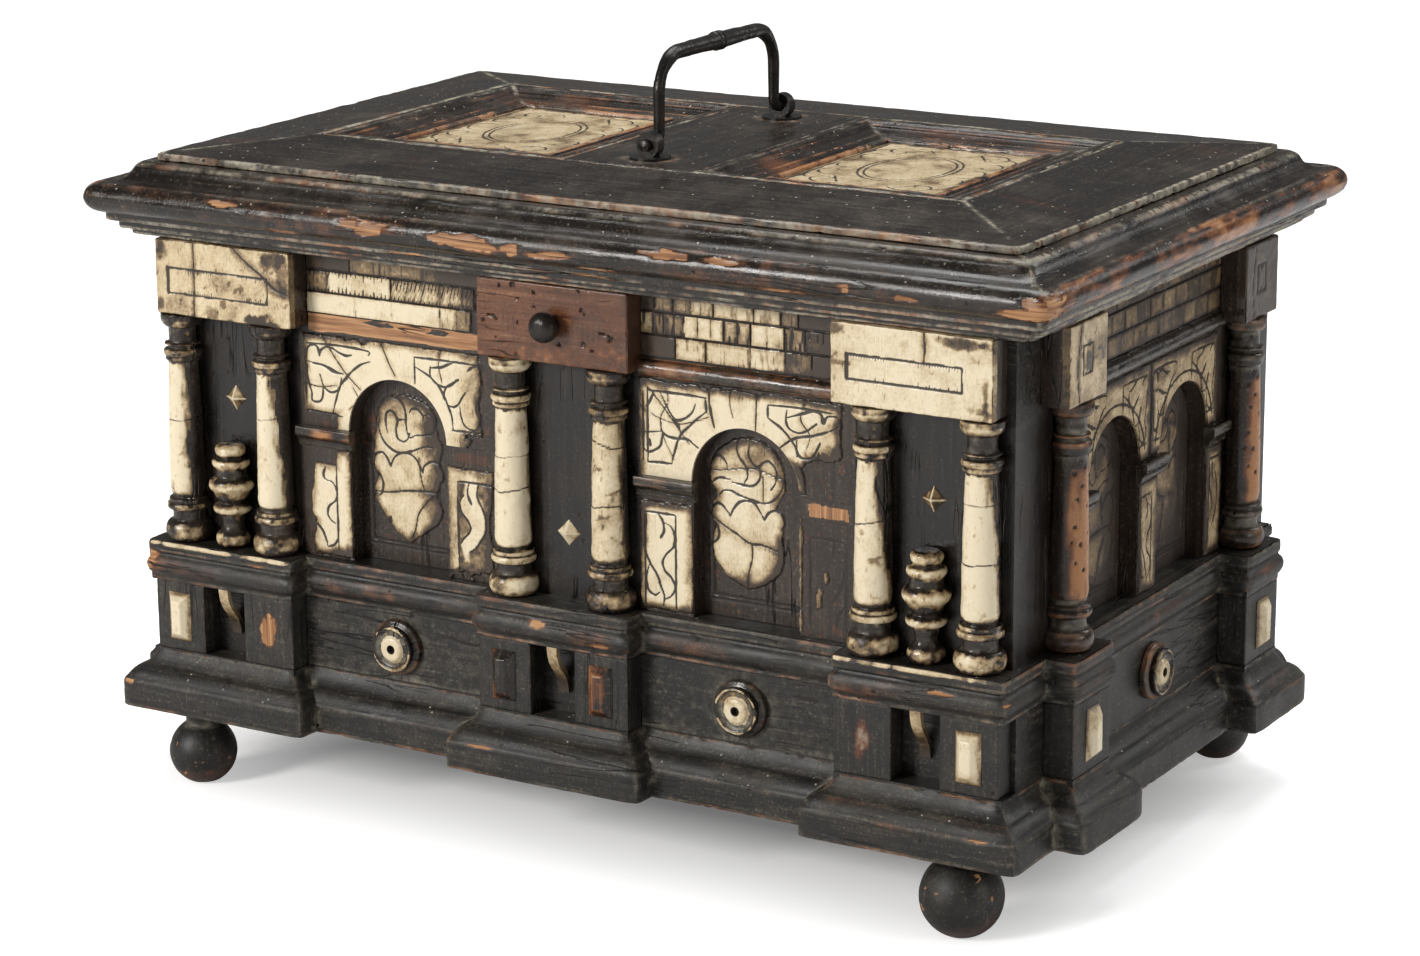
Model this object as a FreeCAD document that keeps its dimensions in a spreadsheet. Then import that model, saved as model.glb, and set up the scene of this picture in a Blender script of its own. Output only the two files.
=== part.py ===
"""A casket of ebonised wood dressed as a small palace front.

Plinth, pedestals, columns and bone-faced arcades stand on four ball feet. The moulded lid carries two
panelled fields and an iron bail, and a turning catch works behind the knob of the centre block.
Millimetres, X along the front, the front at -Y, Z up from the ground under the feet.
"""
import FreeCAD
import Part
import Sketcher
import math
import os
from types import SimpleNamespace

# Driving dimensions: alias, millimetres, what it measures
SIZES = (
    ("case_length", 397.0, "over the arcaded end walls"),
    ("case_depth", 239.0, "from the arcaded front to the back"),
    ("board", 11.0, "carcass boards"),
    ("facing", 8.0, "arcades, pier panels and frieze boards on the carcass"),
    ("floor_thickness", 10.0, "floor board"),
    ("floor_recess", 4.0, "floor board above the lower edge of the walls"),
    ("foot_height", 33.0, "ground to plinth"),
    ("foot_diameter", 29.0, "ball feet"),
    ("odd_foot_diameter", 33.5, "the larger ball under the front right corner"),
    ("foot_flat_diameter", 12.0, "flat on which a ball rests"),
    ("foot_neck_diameter", 14.0, "neck above the ball"),
    ("tenon_diameter", 8.0, "tenon of a foot"),
    ("tenon_length", 12.0, "tenon of a foot"),
    ("foot_inset", 19.5, "foot from the end of the base board"),
    ("plinth_projection", 11.0, "plinth fascia over the base board and dies"),
    ("plinth_fascia", 12.0, "upright lower band of the plinth"),
    ("plinth_arris", 1.2, "bevel on top of the fascia"),
    ("plinth_ovolo_height", 4.6, "flat round of the plinth"),
    ("plinth_ovolo_depth", 4.2, "flat round of the plinth"),
    ("plinth_ovolo_bulge", 0.5, "flat round of the plinth"),
    ("plinth_fillet", 0.8, "step above the flat round"),
    ("plinth_wash", 7.7, "hollow slope above the step"),
    ("plinth_hollow", 0.8, "hollow slope above the step"),
    ("dado_height", 30.0, "dies and dado between plinth and surbase"),
    ("dado_step", 3.5, "base board in front of the arcades"),
    ("surbase_bead", 11.0, "rounded lower part of the surbase"),
    ("surbase_neck", 1.4, "groove of the surbase"),
    ("surbase_plate", 5.1, "plate under the columns"),
    ("surbase_foot", 0.8, "foot of the rounded part over the base board"),
    ("surbase_bulge", 1.8, "bulge of the rounded part"),
    ("surbase_groove", 0.4, "groove over the base board"),
    ("surbase_lip", 1.6, "plate over the base board and dies"),
    ("front_die_depth", 11.0, "front pedestals in front of the base board"),
    ("end_die_depth", 13.0, "end pedestals in front of the base board"),
    ("die_width", 25.0, "one front die"),
    ("end_die_width", 33.0, "one end die"),
    ("corner_setback", 2.0, "outer die from the end of the base board"),
    ("column_spacing", 46.0, "columns of a pair"),
    ("column_height", 98.5, "base to capital"),
    ("column_stand", 5.5, "column axis in front of the pier"),
    ("torus_radius", 10.5, "torus of a column base"),
    ("torus_height", 9.0, "torus of a column base"),
    ("torus_bulge", 1.8, "torus of a column base"),
    ("scotia_radius", 7.2, "hollow above the torus"),
    ("scotia_height", 4.6, "hollow above the torus"),
    ("ring_radius", 9.6, "thick ring below the shaft"),
    ("ring_height", 3.4, "thick ring below the shaft"),
    ("ring_bulge", 0.9, "thick rings of a column"),
    ("thin_ring_reach", 1.6, "thin rings of a column over the ends of its shaft"),
    ("thin_ring_height", 2.0, "thin rings of a column"),
    ("thin_ring_bulge", 0.5, "thin rings of a column"),
    ("shaft_foot_radius", 6.6, "shaft at its foot"),
    ("shaft_radius", 7.7, "shaft at its swelling"),
    ("shaft_swelling_height", 7.5, "foot of the shaft to its swelling"),
    ("shaft_foot_bulge", 0.6, "rounded foot of the shaft"),
    ("shaft_top_radius", 6.5, "shaft at its top"),
    ("shaft_bulge", 0.25, "swelling of the shaft over a straight taper"),
    ("astragal_radius", 8.4, "thick ring above the shaft"),
    ("astragal_height", 3.4, "thick ring above the shaft"),
    ("collar_gap", 1.2, "groove between the thick ring and the collar"),
    ("collar_radius", 7.8, "flat collar above the rings"),
    ("collar_height", 1.3, "flat collar above the rings"),
    ("column_neck_radius", 6.0, "neck below the capital"),
    ("column_neck_height", 6.5, "neck below the capital"),
    ("capital_foot_radius", 6.8, "capital at its neck"),
    ("capital_radius", 9.0, "capital at its plate"),
    ("capital_height", 6.0, "capital"),
    ("capital_plate", 2.6, "plate of the capital"),
    ("capital_bulge", 0.5, "round of the capital"),
    ("end_column_inset", 36.5, "end columns from the front and the back"),
    ("pier_margin", 10.5, "pier panel beside a column axis"),
    ("urn_step", 0.8, "fillet between two members of an urn"),
    ("urn_foot_radius", 7.7, "foot of the urn"),
    ("urn_foot_height", 6.8, "foot of the urn"),
    ("urn_stem_radius", 5.2, "stem of the urn"),
    ("urn_stem_height", 6.5, "stem of the urn"),
    ("urn_collar_radius", 8.3, "two collars of the urn"),
    ("urn_collar_height", 3.6, "two collars of the urn"),
    ("urn_body_radius", 8.0, "flaring body of the urn"),
    ("urn_body_height", 4.0, "flaring body of the urn"),
    ("urn_ring_radius", 9.8, "widest ring of the urn"),
    ("urn_ring_height", 5.8, "widest ring of the urn"),
    ("urn_cap_radius", 6.8, "cap of the urn"),
    ("urn_cap_height", 3.1, "cap of the urn"),
    ("urn_bud_height", 2.6, "each half of the bud on top"),
    ("frieze_drop", 3.0, "tops of the arcades below the tops of the columns"),
    ("arch_width", 48.0, "clear opening of an arch"),
    ("arch_spring", 56.0, "sill to springing line"),
    ("end_pier_width", 18.0, "pier between the two end arches"),
    ("impost_height", 8.5, "impost moulding under the springing line"),
    ("impost_projection", 5.0, "impost plate in front of the arcade"),
    ("impost_foot", 2.4, "impost in front of the arcade at its foot"),
    ("impost_plate", 3.8, "upright edge of the impost"),
    ("impost_overhang", 2.0, "impost past the edge of the opening"),
    ("cartouche_width", 33.0, "bone cartouche in a niche"),
    ("cartouche_height", 68.0, "bone cartouche in a niche"),
    ("cartouche_belly", 22.0, "widest level of the cartouche"),
    ("cartouche_waist", 38.0, "drawn-in level of the cartouche"),
    ("cartouche_waist_width", 24.0, "cartouche at its waist"),
    ("cartouche_head_width", 30.0, "round head of the cartouche"),
    ("cartouche_rise", 6.0, "cartouche above the sill"),
    ("bone_thickness", 1.5, "bone plates and cartouches"),
    ("frieze_height", 32.0, "column tops to lid"),
    ("bead_height", 8.5, "half-round bead under the frieze"),
    ("block_width", 69.0, "front frieze blocks"),
    ("block_shift", 4.0, "front frieze blocks towards the middle from their column pair"),
    ("block_projection", 12.5, "frieze blocks in front of the frieze board"),
    ("lock_block_width", 70.5, "plain block with the knob"),
    ("lock_block_projection", 11.0, "plain block in front of the frieze board"),
    ("lozenge_width", 11.0, "bevelled lozenge on a die"),
    ("lozenge_height", 21.0, "bevelled lozenge on a die"),
    ("lozenge_rise", 3.5, "bevelled lozenge on a die"),
    ("stud_side", 7.5, "diamond stud on a pier"),
    ("stud_rise", 3.2, "diamond stud on a pier"),
    ("stud_point", 0.6, "blunt point of a stud"),
    ("stud_level", 63.0, "outer studs above the column bases"),
    ("low_stud_level", 27.0, "middle stud above the column bases"),
    ("boss_radius", 12.0, "turned boss on the dado"),
    ("boss_depth", 4.0, "turned boss on the dado"),
    ("boss_round", 2.0, "rounded edge of a boss"),
    ("boss_ring_radius", 9.8, "bone face of a boss"),
    ("boss_ring_depth", 2.6, "bone face of a boss"),
    ("boss_groove", 1.2, "groove in the bone face"),
    ("boss_eye_radius", 5.0, "raised eye of the bone face"),
    ("boss_hole_radius", 1.7, "hole of the eye"),
    ("scroll_width", 4.6, "scroll console in a pedestal gap"),
    ("scroll_thickness", 2.2, "scroll console in a pedestal gap"),
    ("scroll_bow", 15.0, "radius of both curves of a scroll"),
    ("lid_gap", 0.2, "closed lid above the walls"),
    ("fascia_projection", 11.5, "lowest band of the lid over the walls"),
    ("fascia_height", 2.7, "lowest band of the lid"),
    ("fillet_height", 3.7, "each of two steps of the lid moulding"),
    ("fillet_step", 3.8, "each of two steps of the lid moulding"),
    ("nose_height", 12.8, "half-round nose of the lid"),
    ("nose_step", 1.2, "nose over the upper step"),
    ("nose_bulge", 5.2, "half-round nose of the lid"),
    ("cove_height", 5.2, "hollow above the nose"),
    ("cove_width", 9.2, "hollow above the nose"),
    ("cove_depth", 2.0, "hollow above the nose"),
    ("ovolo_height", 2.2, "small round under the border boards"),
    ("ovolo_width", 3.6, "small round under the border boards"),
    ("lid_board_thickness", 12.0, "board inside the lid moulding"),
    ("slope_overhang", 2.5, "top boards over the walls"),
    ("slope_width", 50.0, "sloping border boards"),
    ("slope_edge", 3.0, "border boards at their outer edge"),
    ("field_rise", 4.7, "middle field above the outer edge"),
    ("centre_rail_width", 61.0, "rail that carries the bail"),
    ("frame_width", 24.0, "moulded frame round a bone panel"),
    ("frame_rim", 4.8, "flat outer rim of a panel frame"),
    ("frame_step", 3.2, "bevel inside the rim"),
    ("frame_step_drop", 1.6, "bevel inside the rim"),
    ("frame_bead", 3.2, "bead beside the panel"),
    ("frame_bead_rise", 1.2, "bead above the panel"),
    ("panel_thickness", 2.5, "bone panel in the lid"),
    ("bail_span", 94.0, "between the axes of the bail's legs"),
    ("bail_rise", 35.0, "pivot to grip"),
    ("bail_rod", 5.0, "rod of the bail"),
    ("bail_swelling", 7.4, "swelling of the grip"),
    ("bail_barrel", 0.4, "swelling of the grip over a straight taper"),
    ("bail_ring", 8.2, "rings of the grip"),
    ("bail_ring_length", 1.5, "each ring of the grip"),
    ("bail_ring_gap", 1.4, "between the rings of the grip"),
    ("bail_foot_bend", 4.0, "bend at a leg's foot"),
    ("bail_grip_bend", 16.0, "bend below the grip"),
    ("pivot_height", 5.5, "bail pivot above the rail"),
    ("pintle_end", 3.5, "end of the rod beyond its eye"),
    ("eye_diameter", 10.4, "eye of a staple"),
    ("eye_width", 5.0, "eye of a staple"),
    ("eye_gap", 0.5, "eye from the bend of the leg"),
    ("shank_diameter", 3.6, "shank of a staple"),
    ("staple_plate_diameter", 17.0, "round plate under a staple"),
    ("staple_plate_thickness", 0.9, "round plate under a staple"),
    ("rove_diameter", 8.0, "clenched rove under the lid board"),
    ("rove_thickness", 1.2, "clenched rove under the lid board"),
    ("running_clearance", 0.08, "pins and spindles in their bores"),
    ("hinge_offset", 120.0, "hinges from the middle"),
    ("hinge_length", 34.0, "hinge leaves and barrel"),
    ("hinge_knuckle", 10.0, "outer knuckle"),
    ("hinge_leaf", 1.5, "leaf thickness"),
    ("hinge_leaf_height", 26.0, "lower leaf below the pin"),
    ("upper_leaf_width", 9.0, "upper leaf behind the barrel's near side"),
    ("hinge_back", 4.0, "pin behind the back"),
    ("barrel_diameter", 6.0, "hinge barrel"),
    ("pin_diameter", 3.0, "hinge pin"),
    ("knuckle_gap", 0.4, "between knuckles and between leaf and barrel"),
    ("knob_radius", 6.2, "mushroom head of the knob"),
    ("knob_rim", 1.4, "upright rim of the head"),
    ("knob_dome", 3.8, "dome of the head"),
    ("knob_bulge", 1.1, "dome of the head"),
    ("knob_crown_radius", 1.2, "flat on top of the dome"),
    ("knob_neck_radius", 3.1, "neck of the knob"),
    ("knob_neck_length", 3.0, "neck of the knob"),
    ("knob_collar_radius", 4.4, "collar of the knob"),
    ("knob_collar", 1.2, "collar of the knob"),
    ("spindle_diameter", 5.0, "spindle of the knob"),
    ("cam_thickness", 2.5, "cam of the catch"),
    ("cam_gap", 0.5, "cam from the wall and from the keeper, and knob from its block"),
    ("cam_hub", 7.0, "hub radius of the cam"),
    ("hook_inner", 12.6, "inner radius of the hook"),
    ("hook_outer", 16.4, "outer radius of the hook"),
    ("keeper_pin_height", 10.0, "keeper pin above the spindle"),
    ("keeper_pin_diameter", 3.0, "keeper pin"),
    ("keeper_width", 16.0, "keeper bracket"),
    ("keeper_thickness", 2.0, "keeper bracket"),
    ("keeper_foot", 14.0, "foot of the keeper under the lid board"),
)

# Angles of the cam at rest, in degrees from +X towards +Z: the open hook, its root and the end of its web
HOOK_TIP = 145
HOOK_ROOT = 215
HOOK_WEB = 240
# Each curve of a scroll turns by this many degrees
SCROLL_TURN = 45
# Rise of a quarter circle as a share of its radius
QUARTER_RISE = 1 - math.sqrt(0.5)

# Pieces modelled upright turn to face the front or an end; pieces modelled for the front turn to an end
UPRIGHT = FreeCAD.Rotation()
FACE_FRONT = FreeCAD.Rotation(FreeCAD.Vector(1, 0, 0), 90)
FACE_RIGHT = FreeCAD.Rotation(FreeCAD.Vector(0, 1, 0), 90)
FACE_LEFT = FreeCAD.Rotation(FreeCAD.Vector(0, 1, 0), -90)
FRONT_TO_RIGHT = FreeCAD.Rotation(FreeCAD.Vector(0, 0, 1), 90)
FRONT_TO_LEFT = FreeCAD.Rotation(FreeCAD.Vector(0, 0, 1), -90)
# A square on its side turns to stand on a corner
ON_POINT = FreeCAD.Rotation(FreeCAD.Vector(0, 1, 0), 45)

doc = FreeCAD.newDocument("casket")
sheet = doc.addObject("Spreadsheet::Sheet", "sizes")
nodes = {}


class Size:
    """A length: the formula that binds it to the sheet, and its present value."""

    def __init__(self, formula, value):
        self.formula = formula
        self.value = value

    def paired(self, sign, other, value):
        return Size("(%s %s %s)" % (self.formula, sign, other.formula), value)

    def __add__(self, other):
        other = as_size(other)
        return self.paired("+", other, self.value + other.value)

    def __sub__(self, other):
        other = as_size(other)
        return self.paired("-", other, self.value - other.value)

    def __mul__(self, other):
        other = as_size(other)
        return self.paired("*", other, self.value * other.value)

    def __truediv__(self, other):
        other = as_size(other)
        return self.paired("/", other, self.value / other.value)

    def __neg__(self):
        return Size("(0 - %s)" % self.formula, -self.value)

    def __rmul__(self, other):
        return as_size(other) * self

    def root(self):
        return Size("sqrt(%s)" % self.formula, math.sqrt(self.value))


def as_size(number):
    if isinstance(number, Size):
        return number
    return Size("%.9g" % number, float(number))


def fill_sheet():
    """Write the driving dimensions and return them by alias."""
    found = {}
    for row, (alias, value, note) in enumerate(SIZES, start=1):
        sheet.set("A%d" % row, alias)
        sheet.set("B%d" % row, "%g" % value)
        sheet.set("C%d" % row, note)
        sheet.setAlias("B%d" % row, alias)
        found[alias] = Size("sizes.%s" % alias, value)
    doc.recompute()
    return SimpleNamespace(**found)


def bind(thing, target, length):
    thing.setExpression(target, as_size(length).formula)


def node(label, thing):
    thing.Label = label
    nodes[label] = thing
    return thing


def origin_plane(body, role):
    for feature in body.Origin.OriginFeatures:
        if feature.Role == role:
            return feature
    raise ValueError("no plane " + role)


def arc_centre(start, stop, rise):
    """Centre of the arc that bulges by the rise to the right of its way, or to the left below 0."""
    across = stop[0] - start[0]
    upward = stop[1] - start[1]
    chord = (across * across + upward * upward).root()
    height = rise if rise.value > 0 else -rise
    radius = (chord * chord / 4 + height * height) / (2 * height)
    shift = (height - radius) / chord
    if rise.value < 0:
        shift = -shift
    return ((start[0] + stop[0]) / 2 + upward * shift, (start[1] + stop[1]) / 2 - across * shift)


def draw(body, name, role, outline, offset=0, closed=True):
    """Sketch an outline on an origin plane of the body; every corner is bound to the sheet.

    A point is (x, y), or (x, y, rise) where the stretch that ends there is an arc of that rise.
    """
    sketch = body.newObject("Sketcher::SketchObject", name)
    sketch.AttachmentSupport = [(origin_plane(body, role), "")]
    sketch.MapMode = "FlatFace"
    bind(sketch, "AttachmentOffset.Base.z", offset)
    points = [tuple(as_size(part) for part in point) for point in outline]
    count = len(points) if closed else len(points) - 1
    ends = []
    centres = []
    for index in range(count):
        start = points[index]
        stop = points[(index + 1) % len(points)]
        first = FreeCAD.Vector(start[0].value, start[1].value, 0)
        last = FreeCAD.Vector(stop[0].value, stop[1].value, 0)
        if len(stop) == 2:
            sketch.addGeometry(Part.LineSegment(first, last), False)
            ends.append((1, 2))
            centres.append(None)
            continue
        centres.append(arc_centre(start, stop, stop[2]))
        centre = FreeCAD.Vector(centres[-1][0].value, centres[-1][1].value, 0)
        circle = Part.Circle(centre, FreeCAD.Vector(0, 0, 1), (first - centre).Length)
        angles = [math.atan2(point.y - centre.y, point.x - centre.x) for point in (first, last)]
        anticlockwise = stop[2].value > 0
        if not anticlockwise:
            angles.reverse()
        if angles[1] <= angles[0]:
            angles[1] += 2 * math.pi
        sketch.addGeometry(Part.ArcOfCircle(circle, angles[0], angles[1]), False)
        ends.append((1, 2) if anticlockwise else (2, 1))

    def place(kind, geometry, position, length):
        rule = Sketcher.Constraint(kind, -1, 1, geometry, position, length.value)
        bind(sketch, "Constraints[%d]" % sketch.addConstraint(rule), length)

    for index in range(count):
        following = (index + 1) % len(points)
        place("DistanceX", index, ends[index][0], points[index][0])
        place("DistanceY", index, ends[index][0], points[index][1])
        if closed or index + 1 < count:
            meeting = (index, ends[index][1], following, ends[following][0])
            sketch.addConstraint(Sketcher.Constraint("Coincident", *meeting))
        else:
            place("DistanceX", index, ends[index][1], points[following][0])
            place("DistanceY", index, ends[index][1], points[following][1])
        if centres[index] is not None:
            across = abs(points[following][0].value - points[index][0].value)
            upright = abs(points[following][1].value - points[index][1].value)
            if upright >= across:
                place("DistanceX", index, 3, centres[index][0])
            else:
                place("DistanceY", index, 3, centres[index][1])
    return sketch


def new_body(name):
    return doc.addObject("PartDesign::Body", name)


def turned(name, outline):
    """Revolve an outline of (radius, height) points about the upright axis."""
    body = new_body(name)
    feature = body.newObject("PartDesign::Revolution", name + "_turning")
    feature.Profile = draw(body, name + "_profile", "XZ_Plane", outline)
    feature.ReferenceAxis = (feature.Profile[0], ["V_Axis"])
    feature.Angle = 360
    return body


def padded(name, role, outline, offset, length):
    """Extrude an outline from its plane's offset, along the plane's normal (the XZ plane's is -Y)."""
    body = new_body(name)
    feature = body.newObject("PartDesign::Pad", name + "_pad")
    feature.Profile = draw(body, name + "_outline", role, outline, offset)
    bind(feature, "Length", length)
    return body


def swept(name, profile_role, profile, profile_offset, path_role, path, closed=False):
    """Carry a profile along a path with mitred corners."""
    body = new_body(name)
    feature = body.newObject("PartDesign::AdditivePipe", name + "_sweep")
    feature.Profile = draw(body, name + "_profile", profile_role, profile, profile_offset)
    feature.Spine = draw(body, name + "_path", path_role, path, closed=closed)
    feature.Transition = "Right corner"
    return body


def put(thing, place, rotation=UPRIGHT):
    thing.Placement = FreeCAD.Placement(FreeCAD.Vector(0, 0, 0), rotation)
    for axis, length in zip("xyz", place):
        bind(thing, "Placement.Base." + axis, length)
    return thing


def box(name, x, y, z):
    """A board between two planes on each axis."""
    thing = doc.addObject("Part::Box", name)
    for (low, high), side in zip((x, y, z), ("Length", "Width", "Height")):
        bind(thing, side, high - low)
    return put(thing, (x[0], y[0], z[0]))


def rod(name, diameter, length, place, rotation=UPRIGHT):
    thing = doc.addObject("Part::Cylinder", name)
    bind(thing, "Radius", diameter / 2)
    bind(thing, "Height", length)
    return put(thing, place, rotation)


def hip(name, wide, high, rise, top_wide, top_high):
    """A block on the front that narrows from its seat to its face, like a hipped roof."""
    wedge = doc.addObject("Part::Wedge", name)
    for key, length in (("Xmin", -top_wide / 2), ("Xmax", top_wide / 2),
                        ("Zmin", -top_high / 2), ("Zmax", top_high / 2),
                        ("X2min", -wide / 2), ("X2max", wide / 2),
                        ("Z2min", -high / 2), ("Z2max", high / 2), ("Ymin", -rise), ("Ymax", as_size(0))):
        bind(wedge, key, length)
    return wedge


def copied(source, place, rotation=UPRIGHT):
    link = doc.addObject("App::Link", source.Name + "_copy")
    link.LinkedObject = source
    return put(link, place, rotation)


def copied_both(source, place, rotation=UPRIGHT, left_rotation=UPRIGHT):
    """Copies of a symmetrical piece on the right half and on the left."""
    return [copied(source, place, rotation), copied(source, (-place[0],) + tuple(place[1:]), left_rotation)]


def mirrored(source, normal=(1, 0, 0)):
    """The same piece on the other half, by default the left one."""
    thing = doc.addObject("Part::Mirroring", source.Name + "_mirrored")
    thing.Source = source
    thing.Normal = FreeCAD.Vector(*normal)
    return thing


def both_sides(pieces):
    """The pieces of the right half with their mirror images."""
    return list(pieces) + [mirrored(piece) for piece in pieces]


def less(name, base, *tools):
    for tool in tools:
        cut = doc.addObject("Part::Cut", name)
        cut.Base = base
        cut.Tool = tool
        base = cut
    return base


def shared(name, base, tool):
    common = doc.addObject("Part::Common", name)
    common.Base = base
    common.Tool = tool
    return common


def fused(name, *pieces):
    fuse = doc.addObject("Part::MultiFuse", name)
    fuse.Shapes = list(pieces)
    return fuse


def group(label, members):
    compound = doc.addObject("Part::Compound", label)
    compound.Links = list(members)
    return node(label, compound)


def laid(profile, face, sign):
    """Turn (projection, height[, rise]) points into an outline on the face at sign times its distance."""
    outline = []
    for point in profile:
        rise = tuple(sign * part for part in point[2:])
        outline.append((sign * (face + point[0]), point[1]) + rise)
    return outline


def front_run(name, profile, x):
    """Extrude a moulding along the front wall."""
    return padded(name, "YZ_Plane", laid(profile, wall_y, -1), x[0], x[1] - x[0])


def end_run(name, profile, y):
    """Extrude a moulding along the right end wall."""
    return padded(name, "XZ_Plane", laid(profile, wall_x, 1), -y[1], y[1] - y[0])


def mitred(name, front, end, corner, reach, rear, z):
    """Part a front and an end moulding along the diagonals through the corners of the plan."""
    x, y = corner
    before = [(-x - reach, -y - reach), (x + reach, -y - reach), (x - reach, -y + reach),
              (-x + reach, -y + reach)]
    beside = [(x + reach, -y - reach), (x + reach, rear + reach), (x - reach, rear - reach),
              (x - reach, -y + reach)]
    high = z[1] - z[0]
    front_part = padded(name + "_front_mitre", "XY_Plane", before, z[0], high)
    end_part = padded(name + "_end_mitre", "XY_Plane", beside, z[0], high)
    return shared(name + "_front_part", front, front_part), shared(name + "_end_part", end, end_part)


def sided(sign, low, high):
    """The range between two distances on one side of the middle."""
    return (low, high) if sign > 0 else (-high, -low)


d = fill_sheet()
ZERO = as_size(0)
SIDES = (-1, 1)

# Planes of the walls
wall_x = d.case_length / 2
wall_y = d.case_depth / 2
core_x = wall_x - d.facing
core_y = wall_y - d.facing
inner_x = core_x - d.board
inner_y = core_y - d.board
inner_back = wall_y - d.board
base_x = wall_x + d.dado_step
base_y = wall_y + d.dado_step
front_face = base_y + d.front_die_depth
end_face = base_x + d.end_die_depth

# Levels
plinth_bottom = d.foot_height
arris_bottom = plinth_bottom + d.plinth_fascia
ovolo_bottom = arris_bottom + d.plinth_arris
wash_bottom = ovolo_bottom + d.plinth_ovolo_height
dado_bottom = wash_bottom + d.plinth_wash
surbase_bottom = dado_bottom + d.dado_height
groove_bottom = surbase_bottom + d.surbase_bead
plate_bottom = groove_bottom + d.surbase_neck
column_bottom = plate_bottom + d.surbase_plate
spring = column_bottom + d.arch_spring
block_bottom = column_bottom + d.column_height
frieze_line = block_bottom - d.frieze_drop
case_top = block_bottom + d.frieze_height
spindle_z = (block_bottom + case_top) / 2
lid_bottom = case_top + d.lid_gap
step_bottom = lid_bottom + d.fascia_height
upper_step_bottom = step_bottom + d.fillet_height
nose_bottom = upper_step_bottom + d.fillet_height
nose_top = nose_bottom + d.nose_height
cove_top = nose_top + d.cove_height
cornice_top = cove_top + d.ovolo_height
lid_under = cornice_top - d.lid_board_thickness
edge_top = cornice_top + d.slope_edge
field_top = edge_top + d.field_rise
bail_pivot = field_top + d.pivot_height
hinge_z = lid_bottom - d.hinge_leaf - d.knuckle_gap - d.barrel_diameter / 2
hinge_y = wall_y + d.hinge_back

# Places along the front, the ends and the lid
pair_half = (d.column_spacing + d.die_width) / 2
pair_centre = base_x - d.corner_setback - pair_half
pair_inner = pair_centre - pair_half
column_half = d.column_spacing / 2
end_centre = wall_y - d.end_column_inset
end_inner = end_centre - d.end_die_width / 2
end_outer = end_centre + d.end_die_width / 2
pier_half = column_half + d.pier_margin
bay_outer = pair_centre - pier_half
bay_centre = (pier_half + bay_outer) / 2
end_bay = end_centre - d.pier_margin
block_centre = pair_centre - d.block_shift
block_inner = block_centre - d.block_width / 2
block_outer = block_centre + d.block_width / 2
lock_half = d.lock_block_width / 2
arch_half = d.arch_width / 2
end_arch = (d.end_pier_width + d.arch_width) / 2
foot_x = base_x - d.foot_inset
front_foot_y = -base_y - d.front_die_depth / 2
rear_foot_y = wall_y - d.board / 2
staple_y = d.bail_span / 2 + d.bail_foot_bend + d.eye_gap + d.eye_width / 2


def spindle_hole(name):
    """A bore along Y from the inside of the front to the face of the centre block."""
    bore = d.spindle_diameter + 2 * d.running_clearance
    reach = d.board + d.facing + d.lock_block_projection
    return rod(name + "_spindle_hole", bore, reach, (0, -inner_y, spindle_z), FACE_FRONT)


def foot_mortice(name, x, y):
    return rod(name + "_mortice", d.tenon_diameter, d.tenon_length, (x, y, plinth_bottom))


def carcass():
    """Floor and four plain boards; the front one is bored for the spindle, the back one for the feet."""
    floor_bottom = plinth_bottom + d.floor_recess
    node("floor_board", box("floor", (-inner_x, inner_x), (-inner_y, inner_back),
                            (floor_bottom, floor_bottom + d.floor_thickness)))
    z = (plinth_bottom, case_top)
    front = box("front", (-core_x, core_x), (-core_y, -inner_y), z)
    node("front_board", less("front_bored", front, spindle_hole("front")))
    back = box("back", (-core_x, core_x), (inner_back, wall_y), z)
    mortices = [foot_mortice("back", sign * foot_x, rear_foot_y) for sign in SIDES]
    node("back_board", less("back_bored", back, *mortices))
    end = box("end", (inner_x, core_x), (-inner_y, inner_back), z)
    node("right_end_board", end)
    node("left_end_board", mirrored(end))


def feet():
    """Balls with a flat below and a short neck and tenon above; the front right one is larger."""
    def ball(name, diameter):
        radius = diameter / 2
        flat = d.foot_flat_diameter / 2
        neck = d.foot_neck_diameter / 2
        tenon = d.tenon_diameter / 2
        top = d.foot_height
        shoulder = (radius * radius - flat * flat).root() + (radius * radius - neck * neck).root()
        across = neck - flat
        half_chord = (across * across + shoulder * shoulder).root() / 2
        rise = radius - (radius * radius - half_chord * half_chord).root()
        return turned(name, [(0, 0), (flat, 0), (neck, shoulder, rise), (neck, top), (tenon, top),
                             (tenon, top + d.tenon_length), (0, top + d.tenon_length)])
    small = ball("ball", d.foot_diameter)
    large = ball("odd_ball", d.odd_foot_diameter)
    group("ball_feet", [copied(small, (-foot_x, front_foot_y, 0)), copied(large, (foot_x, front_foot_y, 0))]
          + copied_both(small, (foot_x, rear_foot_y, 0)))


def pedestals(name, z):
    """Blocks where the base breaks forward: at a front corner, in the middle and two on the right end."""
    side = box(name + "_side", (pair_inner, base_x), (-front_face, -base_y), z)
    centre = box(name + "_centre", (-pair_half, pair_half), (-front_face, -base_y), z)
    ends = [box(name + "_end", (base_x, end_face), sided(sign, end_inner, end_outer), z) for sign in SIDES]
    return side, centre, ends


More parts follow.
